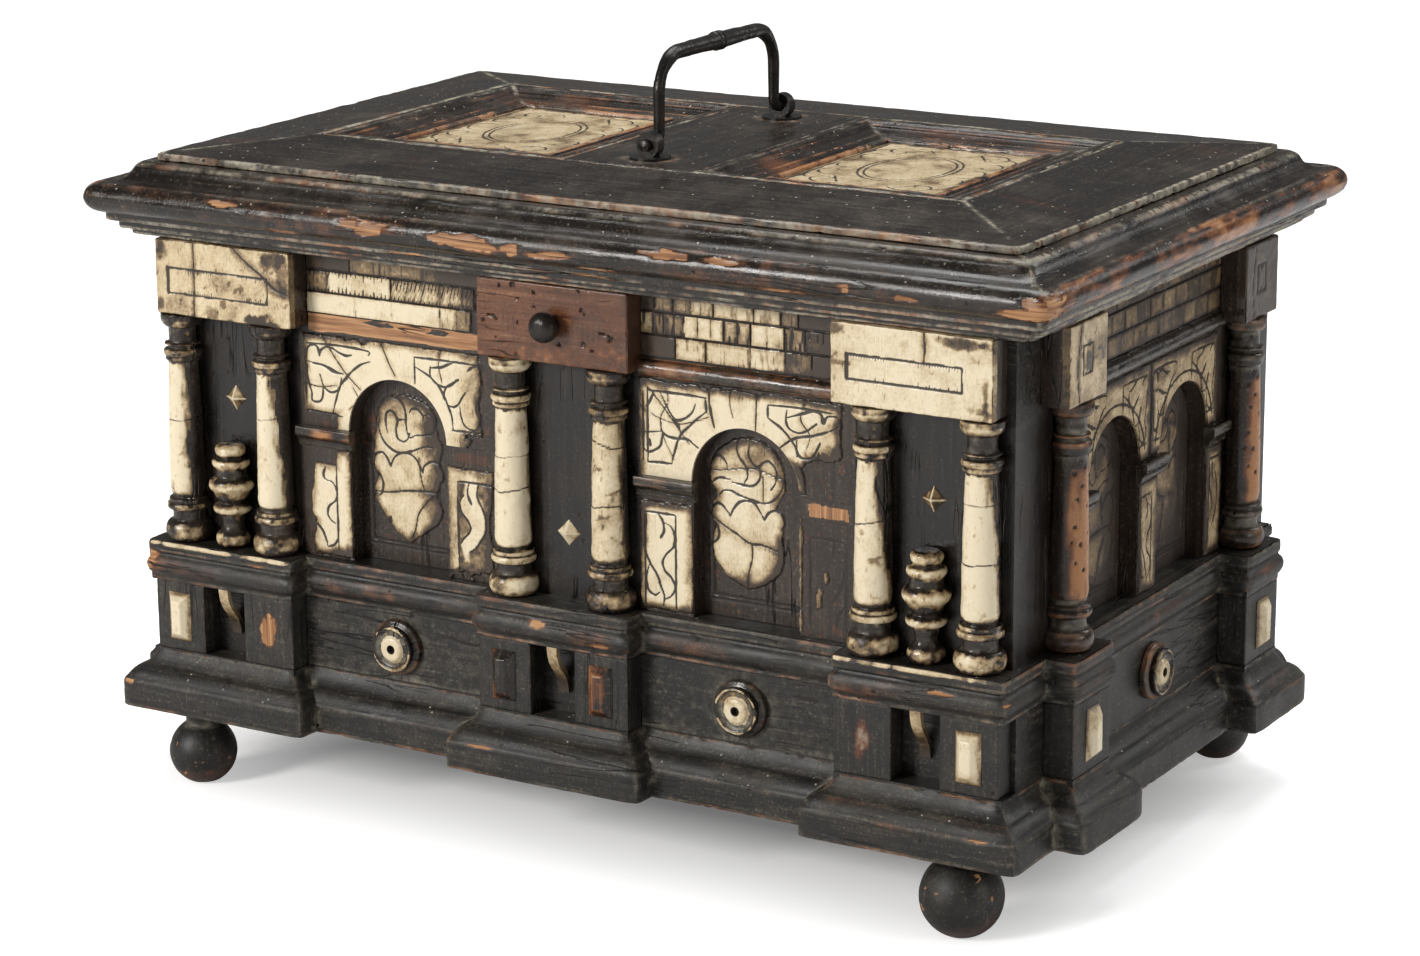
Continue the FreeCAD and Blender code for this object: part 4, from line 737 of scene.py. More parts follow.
for made, names in (
        (CARCASS_X, "floor_board front_board back_board lid_board"),
        (CARCASS_Z, "left_end_board right_end_board"),
        (EBONY_X, "base_front pedestal_bases pedestal_caps frieze_boards"),
        (EBONY_Y, "base_ends"),
        (EBONY_Z, "pier_panels"),
        (ARCADE_Z, "arcade_front_left arcade_front_right arcade_left_end arcade_right_end"),
        (console_bone("console_bone"), "scroll_consoles"),
        (IRON, "hinge_leaves_lower hinge_leaves_upper hinge_pins"),
        (IRON, "handle_staples latch_keeper lock_knob latch_cam")):
    for label in names.split():
        nodes[label].data.materials.clear()
        nodes[label].data.materials.append(made)


# Mouldings of the lid

CORNICE = ((-19, LID), (11.5, LID), (11.5, 239.4), (15.3, 239.4), (15.3, 243.1), (19.1, 243.1),
           (19.1, NOSE), (20.3, NOSE), (20.3, 259.6, 5.2), (19.1, 259.6), (9.9, 264.8, -2.0),
           (6.3, CORNICE_TOP, 0.55), (-19, CORNICE_TOP))
SLOPE = ((2.5, CORNICE_TOP), (2.5, EDGE_TOP), (-47.5, FIELD_TOP), (-47.5, CORNICE_TOP))
FRAME = ((0, CORNICE_TOP), (0, FIELD_TOP), (-4.8, FIELD_TOP), (-5.6, 273.9), (-8, 273.1), (-8.4, 272.2),
         (-14.5, 270.9), (-15.0, 271.5), (-16.8, 271.0), (-20.8, 269.5), (-20.8, 270.7), (-24, 270.7, 0.5),
         (-24, CORNICE_TOP))
SIDES = {"front": ((-1, -1), (1, -1)), "right": ((1, -1), (1, 1)), "back": ((1, 1), (-1, 1)),
         "left": ((-1, 1), (-1, -1))}
NOSE_CHIPS = (
    ((-150, -143, 257), (7, 4, 1.6)), ((-86, -144, 255), (6, 5, 2.6)), ((-76, -144, 254), (8, 5, 3.4)),
    ((-40, -144, 254), (7, 5, 2.8)), ((-29, -144, 253), (9, 5, 3.4)), ((-20, -144, 251), (5, 5, 2.6)),
    ((-9, -144, 252), (4, 5, 3.0)), ((2, -144, 251), (5, 5, 1.6)), ((10, -144, 252), (7, 5, 1.8)),
    ((61, -143, 257), (12, 5, 1.5)), ((85, -143, 257), (9, 5, 1.2)), ((139, -144, 252), (3, 4, 2.2)),
    ((165, -144, 251), (4, 4, 1.4)), ((-120, -144, 248), (9, 4, 1.0)), ((-60, -139, 243.5), (9, 4, 1.2)),
    ((30, -144, 247.5), (10, 4, 1.0)), ((110, -144, 248), (12, 4, 1.0)), ((20, -139, 243.5), (12, 4, 1.2)),
    ((221, -142, 252), (8, 13, 6.5)), ((212, -144, 250), (9, 5, 2.2)), ((219, -100, 256), (3, 8, 1.5)))


def joint_dust(patch, seed):
    """Pale dust along the joint of the slope with the flat field and along the mitres at its corners."""
    p = patch["p"]
    across = np.abs(p[..., 0]) - FIELD_X
    down = np.abs(p[..., 1]) - FIELD_Y
    fine = rough(p, 4, seed) + 0.6 * rough(p, 24, seed + 2)
    seam = bell(most(across, down), 1.2)
    mitre = bell(across - down, 1.2) * (least(across, down) > -1)
    out = most(np.abs(p[..., 0]) - WALL_X, np.abs(p[..., 1]) - WALL_Y)
    # A pale line along the foot of the slope, stronger on the right end: dust, and a painted highlight there.
    foot = bell(out - 1.9, 0.6) * np.where(p[..., 0] > WALL_X, 1.1, 0.45)
    lay(patch, "dust", 1.5 * most(seam, mitre, foot) * (0.7 + fine), 2)
    lay(patch, "wear", 0.33 * unit(rough(p * (0.4, 1, 1), 18, seed + 5)))
    return patch


def edging(label, outline, seed, wear, corner, marks=()):
    """One mitred side of the lid, from corner to corner of the plan."""
    start, stop = SIDES[label]
    path = [(start[0] * WALL_X, start[1] * WALL_Y), (stop[0] * WALL_X, stop[1] * WALL_Y)]
    step, spacing = (2.2, 0.6) if label in ("front", "right") else (3.0, 0.9)
    made = run(outline, path, ends=SIDES[label], corner=corner, step=step, spacing=spacing, rounds=1)
    sag = 0.25 * np.clip(noise(made["p"] * (1, 1, 0), 70, seed + 9), -1, 0)
    made["p"][..., 2] += np.where(made["p"][..., 2] > NOSE, sag, 0)
    # Stronger pale arrises on the ends: painted highlights laid with the dust.
    rub(made, seed, wear, dust=0.9, arris=2.6 if label in ("right", "left") else 1.5)
    if label == "right":
        p = made["p"]
        torus = (p[..., 2] > 247) & (p[..., 2] < 259) & (p[..., 0] > WALL_X + 21)
        long = p * (1, 0.3, 1)
        lay(made, "wear", torus * (0.22 + 0.4 * rough(long, 9, seed + 6) + 0.4 * rough(long, 2, 8)))
    if marks:
        chip(made, marks, seed + 2)
    return made


for number, label in enumerate(SIDES):
    chips = NOSE_CHIPS if label in ("front", "right") else ()
    worn("cornice_" + label, "lid", EBONY,
         [edging(label, CORNICE, 11 + number, 0.9, 1.6, chips)])
slopes = {label: joint_dust(edging(label, SLOPE, 21 + number, 0.75, 1.0), 31)
          for number, label in enumerate(SIDES)}
worn("slope_front", "lid", EBONY, [slopes["front"]])
worn("slope_back", "lid", EBONY, [slopes["back"]])
worn("slope_ends", "lid", EBONY, [slopes["right"], slopes["left"]])
parts = []
for part in block((-RAIL_HALF, -FIELD_Y, CORNICE_TOP), (RAIL_HALF, FIELD_Y, FIELD_TOP), 0.6,
                  (1.5, 1.5, 4), 1):
    rub(part, 25, 0.6)
    p = part["p"]
    ring = np.hypot(p[..., 0], np.abs(p[..., 1]) - 54)
    scuff = bell(ring - 10.5, 2) * unit(0.5 + rough(p, 3, 26))
    lay(part, "dust", 0.9 * scuff)
    lay(part, "wear", 0.5 * scuff + 0.3 * unit(rough(p, 22, 28)))
    parts.append(part)
worn("centre_rail", "lid", EBONY, parts)
for sign, label in ((-1, "left"), (1, "right")):
    x = sorted((sign * RAIL_HALF, sign * FIELD_X))
    path = [(x[1], -FIELD_Y), (x[1], FIELD_Y), (x[0], FIELD_Y), (x[0], -FIELD_Y)]
    made = run(FRAME, path, loop=True, step=2.4, spacing=0.5, corner=0.3, rounds=1)
    rub(made, 27 + sign, 1.1, dust=0.9)
    p = made["p"]
    inner = p[..., 2] < 273.6
    lay(made, "wear", 0.34 * inner * (0.7 + 0.7 * rough(p, 25, 5)))
    # Painted highlight: a pale line on the frame's arris where it meets the field, laid with the dust.
    rim = bell(p[..., 2] - FIELD_TOP, 0.5) * unit(made["edge"])
    lay(made, "dust", 2.0 * rim * (0.4 + rough(p, 6, 29)), 2)
    corner = np.abs(p[..., 0] - sign * PANEL_X) - PANEL_HALF - np.abs(p[..., 1]) + FIELD_Y
    lay(made, "dust", 1.5 * bell(corner, 1) * (0.5 + rough(p, 5, 30)), 2)
    splinter = ease(rough(p * (0.35, 0.35, 1), 6, 33 + sign) + 0.5 * rough(p, 2, 35), 0.75, 0.95)
    made["raw"] = splinter * unit(made["edge"]) * (p[..., 1] > -30)
    worn("panel_frame_" + label, "lid", EBONY, [made])


# Engraved bone: strokes in x and z of the front plane, some points with a width. Those of a niche start
# from the middle of its sill.

LEFT_SPANDRELS = """
-127.5,171 -127.6,183 -127.5,195.5
-127,197 -110,197.5 -96,196.8 -95.5,195
-95,192.5 -100,190.5 -105,186.5 -110,181 -113,173 -114.5,168
-127,168.5 -115,168 -109.5,167.5
-127,190 -126.5,194.5 -124.5,196.3 -121.5,196 -120.3,192,1.5
-120.3,192,1.5 -119.5,194.5 -117,196.2 -113.5,196 -110.5,194.5 -107,193.8,1.6 -104,194.2
-127,189.5 -123,188.7 -119,188.5 -115.5,187.3,1.3 -112,186,1.5 -108.5,185.8
-126.5,188 -126.8,184 -126,180 -124.8,176 -124.8,173 -122.5,172.3 -120,173.5 \
-119,177 -119.3,181 -120.3,184.2,1.6
-119.3,181 -118,178.7 -115,177.3 -112,178.2 -110.3,180.5 -109.5,184,1.5
-110.3,180.5 -109,182 -105.5,185.5
-73,197 -56,197.2 -40,197
-72.8,197 -72.8,191 -72.8,186
-72.5,193 -66,190 -62,187 -59,183 -57,179 -55,174 -54.5,169
-55,168.5 -47,168.7 -40,169
-64.5,193.5 -60,194.2 -57,195.5 -53.5,197
-47,194,1.5 -44.5,196 -41,196.5 -39.5,194.5
-65,194 -65.2,190.5 -63,187.7 -59,186.2 -55.5,187 -52.5,189.5,1.8
-57,179.5 -58.8,182 -57.5,186 -54,188.5 -51.5,190,1.8
-57,179 -54,178.3 -51.5,180 -50,182.5 -48.3,185,1.9
-51,179 -50.5,175 -49,171.5 -46,169.8 -42.5,170.5 -41,174 -43,178 -42,182 -40,187 -40.5,191
"""
LEFT_CRACKS = """
-89,200.5 -85.5,193 -82.5,188
-119,201 -113,193 -107,186 -100,180
-60,201,0.6 -61,195,0.7 -59.5,188,0.6
-104,181,0.6 -101.5,176,0.7 -106,171,0.6
-128.5,180,0.6 -121,179,0.7 -112,180.5,0.6
"""
RIGHT_SPANDRELS = """
38,168 38,182 38,197
36,168 36,182 36,196
38,196.5 50,196.7 65,196.5
64.5,196 65,190.5
38,167.5 44,167.8 49,168
49,168 50,172 53,180 57,184 60,187 65,191
37,189.5 39,192 41,196
44,196 46,192.5 48.5,188.5 51,186 55,187 58.5,190 60,193.5
48,187 52,184 53,181
44,184.5,1.6 44.5,181 47,179 51,178.5 56,178.8 58.5,177.5 61,176,1.9
36,173 38,171.5 41,172.5 44,175 44.8,180
39,177 39.3,174
92.5,197 105,197.5 122,197
92.5,197 92.5,192
92.5,192 99,188 103,184 105,181 105.5,178
101,196 100.5,192 102,188.8 106,187.5 110,189 114,192,1.8
101,193 108,195.5 113,197 116,196 117,193,1.5 119,195.5 123,195.5 125,192
105.3,184.5 105.3,180.5 107,178 111,178 113.5,180.5 115.5,184.5,1.9
115,181 114.5,176
"""
RIGHT_CRACKS = """
34,179 44,180.5
66,201,1.8 66.5,193,1.8 68.5,185,1.4
87.5,200 87,186
97,180,1.4 104,185,1.6 112,187,1.8 120,190,1.4 124,192.5
36,200,0.7 44,192,0.8 50,185,0.8 57,177,0.7
34.5,190,0.6 43,186,0.8 52,184.5,0.7 60,186.5,0.6 66,189,0.6
46,201,0.6 47.5,193,0.8 44,186,0.8 45.5,178,0.7 50,170,0.6
109,200,0.6 107,193,0.8 111,187,0.8 109,180,0.6
76,201,0.6 75.5,196,0.7 77,190,0.6
"""
LEFT_OUTER = """
-113.5,110 -113.5,128 -113.5,146
-119,145 -120.3,142 -119.5,139.5
-119,139.5 -115.5,138.5 -113.5,135 -114.5,131 -117.5,128.5 -118.7,125 -117,122.3 -114.5,121
-126,121 -122,118 -120,114 -119,110.5
-119,110.5 -115.5,112 -113.5,115
"""
LEFT_INNER = """
-53,110 -53,128 -53,147.5
-53,147.5 -44,147.6 -36,147.5
-50,142 -52,139 -51.5,135 -48.5,131.5 -47,128.5 -48,126 -50.5,123.5 -52,121
-47.5,147 -48.2,143 -46.5,138.5,1.8
-43,147 -43.5,142 -41,137 -39.5,132 -40,127 -42.5,123 -45,120 -48,118
"""
RIGHT_OUTER = """
50.5,108 50.5,128 50.5,147
36.3,147 43,147.2 50.5,147
36.3,108 36.3,128 36.3,147
42,147 44.5,144 45,140 43.5,137,1.7
45,143.5 48.5,142 50,138 49.5,134 46,130.5 44.3,127 45.5,123.5 48.5,121 50,117 48,113.5 45.5,112
37,146 36.5,138 36.5,131 38.5,126 42,121 43.5,117 45,113 44.5,109
38,125 36.8,120 37.5,115 40.5,113 43,114.5
42.5,119 44,116
"""
RIGHT_INNER = """
111,109 111,128 111,146
111,146 119,146.3 127,146
127,146 127,128 127,109
122,146 121.5,142 121,139.5
125.5,137 126,132 124,126 121.5,122
126,120 123.5,116 122.5,111
"""
LEFT_NICHE = """
-14.6,61 -14.9,57 -13,52 -10,49 -6,47.3 -2,47.6 3,49.3 8,51.3 12,51.3
-14.6,61 -14.9,64 -13,68 -10,70.1 -6.5,70.6 -3,68.6 -1.3,65 -1.2,60.4 -0.8,57 0.7,54.4 3,55.4
-10.5,55 -11.3,59 -11,63 -9,64.7 -6.7,63.4 -5.5,60.4 -6.3,57 -5.6,53.4 -3,52.2 -0.6,53.4 0.5,56,1.5
-6,62.8 -4.5,61.4 -2,61.8
0.5,64.8 2,66.6 5,66.6 7.4,64.2 7.2,62,1.5
7.4,64.2 10.5,65.3 12.8,63.3 13.2,59.8 12,57.3 8,56.3 3,55.6
-17.5,42 -17,44.9 -14,46.4 -11.5,44.8 -9.3,40.8,1.9
-9.3,40.8,1.9 -8,44 -5,46.8 -1,47.6 2.5,46.3 5,43.3 6.7,40.1,1.9
6.7,40.1,1.9 7.5,43 11,45.4 14.5,45 16.5,41.8 16.8,38.3 15,36.3
-17.5,38 -15,36.8 -13.5,33.3 -14,29.3 -16,27.3
-10.5,17,2.2 -10,19.5,1.0
"""
LEFT_NICHE_CRACKS = """
-18,29.3,1.4 -10,29.8,1.6 -2,31.3,1.4 8,32.3,1.6 14,32.3
12,31 8,27.3 4,22 2.5,16 0.5,11
5,46 5.5,39 7.5,32
"""
LEFT_LEAF = """
-0.5,9.5 3,11.7 8,14.8 12,17.8 14.5,20.8 16,25 15,28.5 13.5,31 14.5,34.5 16.9,38.5 16.6,42 14.8,45 16,48
17,52 15,56.5 13.6,60 14,64 11,68 5,71 -2,72 -8,71.5 -13,69 -15.6,64 -15.6,58 -17,52 -17.6,46 -17.6,40
-16,36 -17.5,31 -17.3,27 -15.5,23 -13,19.5 -10.8,16.5 -8.5,14.5 -5,12
"""
RIGHT_NICHE = """
-19.5,39.2 -17,36.2 -16.7,32.7 -18.5,30.2 -20,29.7
-20,40.7 -19.5,44.2 -17.5,46.2 -15,45.7 -12.5,43.2 -11.5,41.7,1.9
-11.5,41.7,1.9 -10,44.7 -7.5,47.7 -4,48.9 -0.5,48.2 2,45.2 4,42.2,1.9
4,42.2,1.9 6,45.2 9,46.5 12,45.2 13,41.7 11.5,38.7
-16.5,49.7 -14.5,51.7 -11,52 -7,50.7 -2.5,49.7 1.5,49 5.5,49.2 9.5,51.7 12,55.7 12.8,59.7
-19.5,54.7 -16.5,56.7 -11.5,56.7,1.5
-10.5,55.7,1.5 -6.5,55.2 -1.5,55.2 1.5,57.7 2.3,60.7 1.5,64.2
-8,72.7 -8.3,68.7 -6.5,65.2 -4,62.2 -3.5,58.7 -5,56.2
-2.7,71.7 -3,67.2 -1,64.2 1.5,63.2 3.5,65.2 6,66 8.5,64.2 9.5,61.2 9,57.7 7,54.7,1.5
-20.5,61.7 -19,65.2 -16,65.7 -13.5,63.7 -12.5,61.2
"""
RIGHT_NICHE_CRACKS = """
-22,59.2 -14,60.2 -6,61.7 1.5,62 13,59.2
-24,43.2 -16.5,38.7,1.2 -8.5,34.7,1.4 -2.5,31.7,1.4 3.5,31.7,1.2 10.5,29.9
-1.5,31.7 -1.5,25.7 -3,19.7 -3.5,13.7
3.5,59.7 3.5,49.7
"""
RIGHT_LEAF = """
-3,12.7 1.5,14.2 6.5,17.2 10.5,20.7 12.7,25 13,31 11.8,36 12.6,41 12,45.5 9.5,48.5 12.5,54 13.2,60
11.5,66.5 7,71.5 0,74 -7,74 -14,70.5 -18.5,66 -20.5,61 -19.8,54.5 -17.5,50 -19.5,46 -20.2,41 -18,36.5
-19.8,31 -19.5,26.5 -16,20 -12.5,16.5 -7.5,14.2
"""


def grid(low_x, high_x, low_y, high_y, step):
    """A flat grid of about this step that fills a rectangle."""
    x = np.linspace(low_x, high_x, max(2, int((high_x - low_x) / step) + 1))
    y = np.linspace(low_y, high_y, max(2, int((high_y - low_y) / step) + 1))
    return np.meshgrid(x, y, indexing="ij")


def inlaid(x, y, shift, origin, axes, lines, cracks, lost, seed, dark=0.0):
    """A bone inlay: bone stands proud of its ground where lost() says so, lines and cracks are cut in.

    lost() takes places and noise and gives the distance inside the bone's border and the stain on it. Stain
    also gathers along the border and the cracks.
    """
    q = np.stack([x + shift[0], y + shift[1]], 2)
    blot, fine = field(q, seed)
    gap, stain = lost(q, blot, fine)
    gap = gap + 0.35 * fine
    bone = ease(gap, -0.25, 0.3)
    ink = cut(q, lines, 1.05) if lines else np.zeros_like(x)
    halo = 1 - ease(gap + 1.6 * blot, 0.2, 4.0)
    stain = dark + stain + 0.45 * halo + 0.2 * unit(blot) + 0.03
    if cracks:
        off = away(q, cracks)
        ink = most(ink, 0.95 * (1 - ease(off * (1 + 0.3 * fine), 0.18, 0.48)))
        stain = stain + 0.22 * (1 - ease(off + blot, 0.3, 2.6))
    ink = most(ink, 0.55 * (1 - ease(np.abs(gap), 0.1, 0.55)))
    wear = 0.4 * ease(fine + 0.5 * blot, 0.4, 1.0) * ease(-gap, 0.2, 0.8)
    height = GROUND_THICK + (BONE_THICK - GROUND_THICK) * bone - 0.35 * ink + 0.05 * fine * bone
    return plate(x, y, origin, axes, most(height, 0.08),
                 {"bone": bone, "ink": unit(ink), "stain": stain, "wear": wear})


def fan(half, arch, rays, rings):
    """A grid round an arch: rays from its centre reach from its edge to the sides of the panel over it."""
    high = FRIEZE - SPRING
    turn = math.atan2(high, half)
    side = int(rays * 0.21)
    angle = np.concatenate([np.linspace(0, turn, side, endpoint=False),
                            np.linspace(turn, np.pi - turn, rays - 2 * side, endpoint=False),
                            np.linspace(np.pi - turn, np.pi, side)])
    across = half / most(np.abs(np.cos(angle)), 1e-6)
    reach = least(across, high / most(np.sin(angle), 1e-6))
    radius = arch + 0.3 + (reach[:, None] - arch - 0.5) * np.linspace(0, 1, rings)[None, :]
    return radius * np.cos(angle)[:, None], radius * np.sin(angle)[:, None]


def left_bay(q, blot, fine):
    """The left bay has lost its foot but along the arch, its right border, and chips of its top edge."""
    x, z = q[..., 0], q[..., 1]
    reach = np.hypot(x + BAY, z - SPRING)
    top = FRIEZE - 0.3 - z - 2.6 * ease(fine + blot, 0.1, 0.7) * ease(-x, 90, 99) * ease(-x, 126, 121)
    foot = np.where(x < -BAY, z - 168.4, most(z - 167.4, -47 - x + 2 * fine))
    foot = most(foot, 30.4 - reach)
    gap = least(x + 129 + 0.6 * blot, -41.5 - x + 1.5 * blot, top, foot)
    stain = 0.34 * ease(x, -56, -43) + 0.35 * ease(-z, -170, -163) * (reach > 31) + 0.3 * ease(-x, 122, 129)
    return gap, stain + 0.3 * ease(z, 197.5, 201.5) * ease(-x, 92, 98)


def right_bay(q, blot, fine):
    """The right bay has lost its lower right below a ragged line, and its top edge has browned."""
    x, z = q[..., 0], q[..., 1]
    reach = np.hypot(x - BAY, z - SPRING)
    line = np.interp(x, (97, 99, 105, 112, 120, 126), (150, 174, 172, 176, 178, 180))
    foot = most(z - line + 1.6 * blot + fine, least(27.2 - reach, z - 163))
    gap = least(x - 34.4, 125.2 - x + 1.2 * blot, FRIEZE - 0.4 - z + 0.5 * fine, foot)
    stain = 0.42 * (1 - ease(foot, 0, 9)) * (x > 97) + 0.5 * ease(z + 1.2 * blot, 196.5, 201)
    return gap, stain + 0.3 * ease(x, 108, 124) + 0.25 * (1 - ease(x, 35, 39))


def left_outer(q, blot, fine):
    """A ragged outer side, and a head that is left only beside the arch."""
    x, z = q[..., 0], q[..., 1]
    side = np.interp(z, (107, 122, 125, 132, 138, 144), (-126, -124.5, -127, -127, -125.5, -124.5))
    head = most(146 - z, x + 113.3)
    gap = least(x - side + 0.6 * blot, -106.7 - x, z - 107.2, 152.6 - z, head)
    return gap, 0.45 * (1 - ease(z + 2 * blot, 108, 113)) + 0.3 * ease(z, 148, 152.5)


def left_inner(q, blot, fine):
    """Pale at the arch, at the head and on a curled leaf, brown elsewhere."""
    x, z = q[..., 0], q[..., 1]
    start = np.interp(z, (115, 121, 123.5, 126, 128.5, 131.5, 135, 139, 142, 147),
                      (-50, -52, -50.5, -48, -47, -48.5, -51.5, -52, -50, -49))
    stop = np.interp(z, (118, 120, 123, 127, 132, 137, 142, 147),
                     (-48, -45, -42.5, -40, -39.5, -41, -43.5, -43))
    leaf = least(x - start, stop - x, z - 113.5 + fine)
    strip = least(-53.1 - x, z - 108.5 + fine)
    gap = least(x + 57.9, -36.5 - x + 1.5 * blot, 152.8 - z, z - 108.5 + 2 * fine)
    kept = ease(most(strip, z - 148.0, leaf) + 0.5 * blot, -0.6, 0.5)
    stain = 0.62 - 0.42 * kept - 0.16 * (leaf > 0.4) + 0.2 * fine * (1 - kept)
    return gap, stain


def right_outer(q, blot, fine):
    """Whole, and browned at the foot, the head and the upper outer corner."""
    x, z = q[..., 0], q[..., 1]
    gap = least(x - 34.3, 57.8 - x, z - 107.4, 151.6 - z)
    corner = (1 - ease(x, 36, 39)) * ease(z, 130, 136)
    foot = 1 - ease(z + 2 * blot, 107, 112)
    return gap, 0.5 * corner + 0.5 * foot + 0.4 * ease(z, 147.5, 150) + 0.1 * (x < 42)


def right_inner(q, blot, fine):
    """Only crumbs and a thread of bone at the opening's edge are left."""
    x, z = q[..., 0], q[..., 1]
    crumb = most(1 - np.hypot((x - 115 - 0.15 * (z - 122)) / 1.3, (z - 122) / 4.0),
                 1 - np.hypot((x - 118) / 0.8, (z - 131) / 2.6))
    thread = 0.5 - np.abs(x - 106.8) + 0.35 * blot
    return most(crumb + 0.2 * fine, least(thread, z - 108)), 0.1 + 0.0 * x


def impost_scar(x, y, origin, low, high, bright, seed):
    """Where an impost has fallen off: bare wood of its outline."""
    q = np.stack([x, y], 2)
    fine = field(q, seed)[1]
    bare = ease(framed(q, low, high) + 0.6 * fine, 0, 0.7)
    return plate(x, y, origin, FRONT_AXES, np.full_like(x, 0.2) + 0.05 * fine,
                 {"bone": 0.0, "raw": bright * bare, "wear": 0.55 * bare * (1 - bright)})


def front_bay(middle, spandrels, cracks, outer, inner, masks, seed, bright):
    """The bone of a front bay: the fan over its arch, a strip at each side and the mark of a lost impost."""
    x, y = fan(BAY_WIDTH / 2, ARCH, 330, 76)
    parts = inlaid(x, y, (middle, SPRING), (middle, -WALL_Y, SPRING), FRONT_AXES, strokes(spandrels),
                   strokes(cracks, taper=0.8), masks[0], seed)
    for place, text, mask in ((middle - BAY_WIDTH / 2, outer, masks[1]), (middle + ARCH, inner, masks[2])):
        x, y = grid(0.3, STRIP - 0.3, 0.3, STRIP_HIGH - 0.3, 0.45)
        parts += inlaid(x, y, (place, SILL), (place, -WALL_Y, SILL), FRONT_AXES, strokes(text), None, mask,
                        seed + int(place))
    x, y = grid(0.2, STRIP - 0.2, 0.2, 8.3, 0.6)
    return parts + impost_scar(x, y, (middle + ARCH, -WALL_Y, IMPOST_LOW), (3.2, 1.0), (STRIP - 3, 6.6),
                               bright, seed)


piece("arcade_bone_front_left", "case", ARCADE, front_bay(
    -BAY, LEFT_SPANDRELS, LEFT_CRACKS, LEFT_OUTER, LEFT_INNER, (left_bay, left_outer, left_inner), 41, 0.3))
piece("arcade_bone_front_right", "case", ARCADE, front_bay(
    BAY, RIGHT_SPANDRELS, RIGHT_CRACKS, RIGHT_OUTER, RIGHT_INNER,
    (right_bay, right_outer, right_inner), 47, 0.9))


def leaf_mask(outline, brown):
    """Inside a drawn leaf; brown() gives the stain over it."""
    line = drawn(listed(outline), closed=True)

    def lost(q, blot, fine):
        gap = away(q, [line]) * np.where(within(q, line), 1, -1)
        return gap, brown(q[..., 0] + 4 * blot, q[..., 1] + 4 * blot)
    return lost


def left_brown(x, y):
    """Brown at the right and at the head."""
    return 0.55 * ease(x, 5, 13) + 0.36 * ease(y, 56, 68) + 0.12


def right_brown(x, y):
    """Brown at the lower right, at the foot and at the head."""
    side = 0.6 * ease(x, 2, 10) * ease(-y, -40, -24)
    return side + 0.35 * ease(-y, -24, -14) + 0.36 * ease(y, 56, 68) + 0.08


def niche(left, origin, axes, seed, dark, density):
    """The back of a niche, as wide as its arch at each height, with a bone leaf over a sill line."""
    level = np.concatenate([np.linspace(0.3, NICHE_RISE, int(140 * density), endpoint=False),
                            NICHE_RISE + 23.6 * np.sin(np.linspace(0, 1.555, int(70 * density)))])
    bow = np.sqrt(most(NICHE_HALF ** 2 - (level - NICHE_RISE) ** 2, 0.01))
    half = np.where(level < NICHE_RISE, NICHE_HALF, bow)
    share = np.linspace(-1, 1, int(120 * density))
    x = share[:, None] * half[None, :]
    y = np.repeat(level[None, :], len(share), 0)
    lines = strokes(LEFT_NICHE if left else RIGHT_NICHE)
    lines += [straight((-20, 8.6), (20, 8.4)), straight((-20, 6.9), (20, 6.7)),
              straight((-19.5, 9), (-19.6, 40))]
    cracks = strokes(LEFT_NICHE_CRACKS if left else RIGHT_NICHE_CRACKS, taper=0.8)
    mask = leaf_mask(LEFT_LEAF if left else RIGHT_LEAF, left_brown if left else right_brown)
    return inlaid(x, y, (0, 0), origin, axes, lines, cracks, mask, seed, dark)


piece("niche_leaves_front", "case", ARCADE,
      niche(True, (-BAY, -CORE_Y, SILL), FRONT_AXES, 61, 0.0, 0.85)
      + niche(False, (BAY, -CORE_Y, SILL), FRONT_AXES, 62, 0.0, 0.85), ["niche_cartouches"])
ends = []
for sign in (-1, 1):
    # The niches of the ends are darker (0.52): brown stain, and painted shade on the ends.
    ends += niche(sign < 0, (CORE_X, sign * END_ARCH, SILL), RIGHT_AXES, 63 + sign, 0.52, 0.5)
    ends += niche(sign > 0, (-CORE_X, sign * END_ARCH, SILL), LEFT_AXES, 67 + sign, 0.52, 0.5)
piece("niche_leaves_ends", "case", END_BONE, ends)


def whole(low, high):
    """All bone but for a ragged border of a rectangle."""
    def lost(q, blot, fine):
        return framed(q, low, high) - 0.5 + 0.5 * blot, 0.0 * blot
    return lost


def end_arcade(axes, wall, seed):
    """Bone of an end, browned all over and made darker still as painted shade on the end: two fans, the outer
    strips and the pier between the arches.
    """
    parts = []
    for sign in (-1, 1):
        centre = np.array((wall, 0, SPRING)) + np.array(axes[0]) * sign * END_ARCH
        x, y = fan(END_ARCH, ARCH, 180, 32)
        lines = strokes(LEFT_SPANDRELS, (-BAY, SPRING), (0.70, 1.0)) + [arc((0, 0), 28.5, 10, 170)]
        mask = whole((-END_ARCH, 0), (END_ARCH, FRIEZE - SPRING))
        parts += inlaid(x, y, (0, 0), centre, axes, lines, None, mask, seed + sign, 0.42)
    for low, high, text, edge in ((-END_BAY, -END_ARCH - ARCH, LEFT_OUTER, -131),
                                  (END_ARCH + ARCH, END_BAY, LEFT_INNER, -58), (-9, 9, RIGHT_OUTER, 34)):
        x, y = grid(0.3, high - low - 0.3, 0.3, STRIP_HIGH - 0.3, 0.6)
        place = np.array((wall, 0, SILL)) + np.array(axes[0]) * low
        lines = strokes(text, (edge, SILL), ((high - low) / STRIP, 1.0))
        mask = whole((0, 0), (high - low, STRIP_HIGH))
        parts += inlaid(x, y, (0, 0), place, axes, lines, None, mask, seed + int(high), 0.44)
    return parts


piece("arcade_bone_right_end", "case", END_BONE, end_arcade(RIGHT_AXES, WALL_X, 53))
piece("arcade_bone_left_end", "case", END_BONE, end_arcade(LEFT_AXES, -WALL_X, 59))

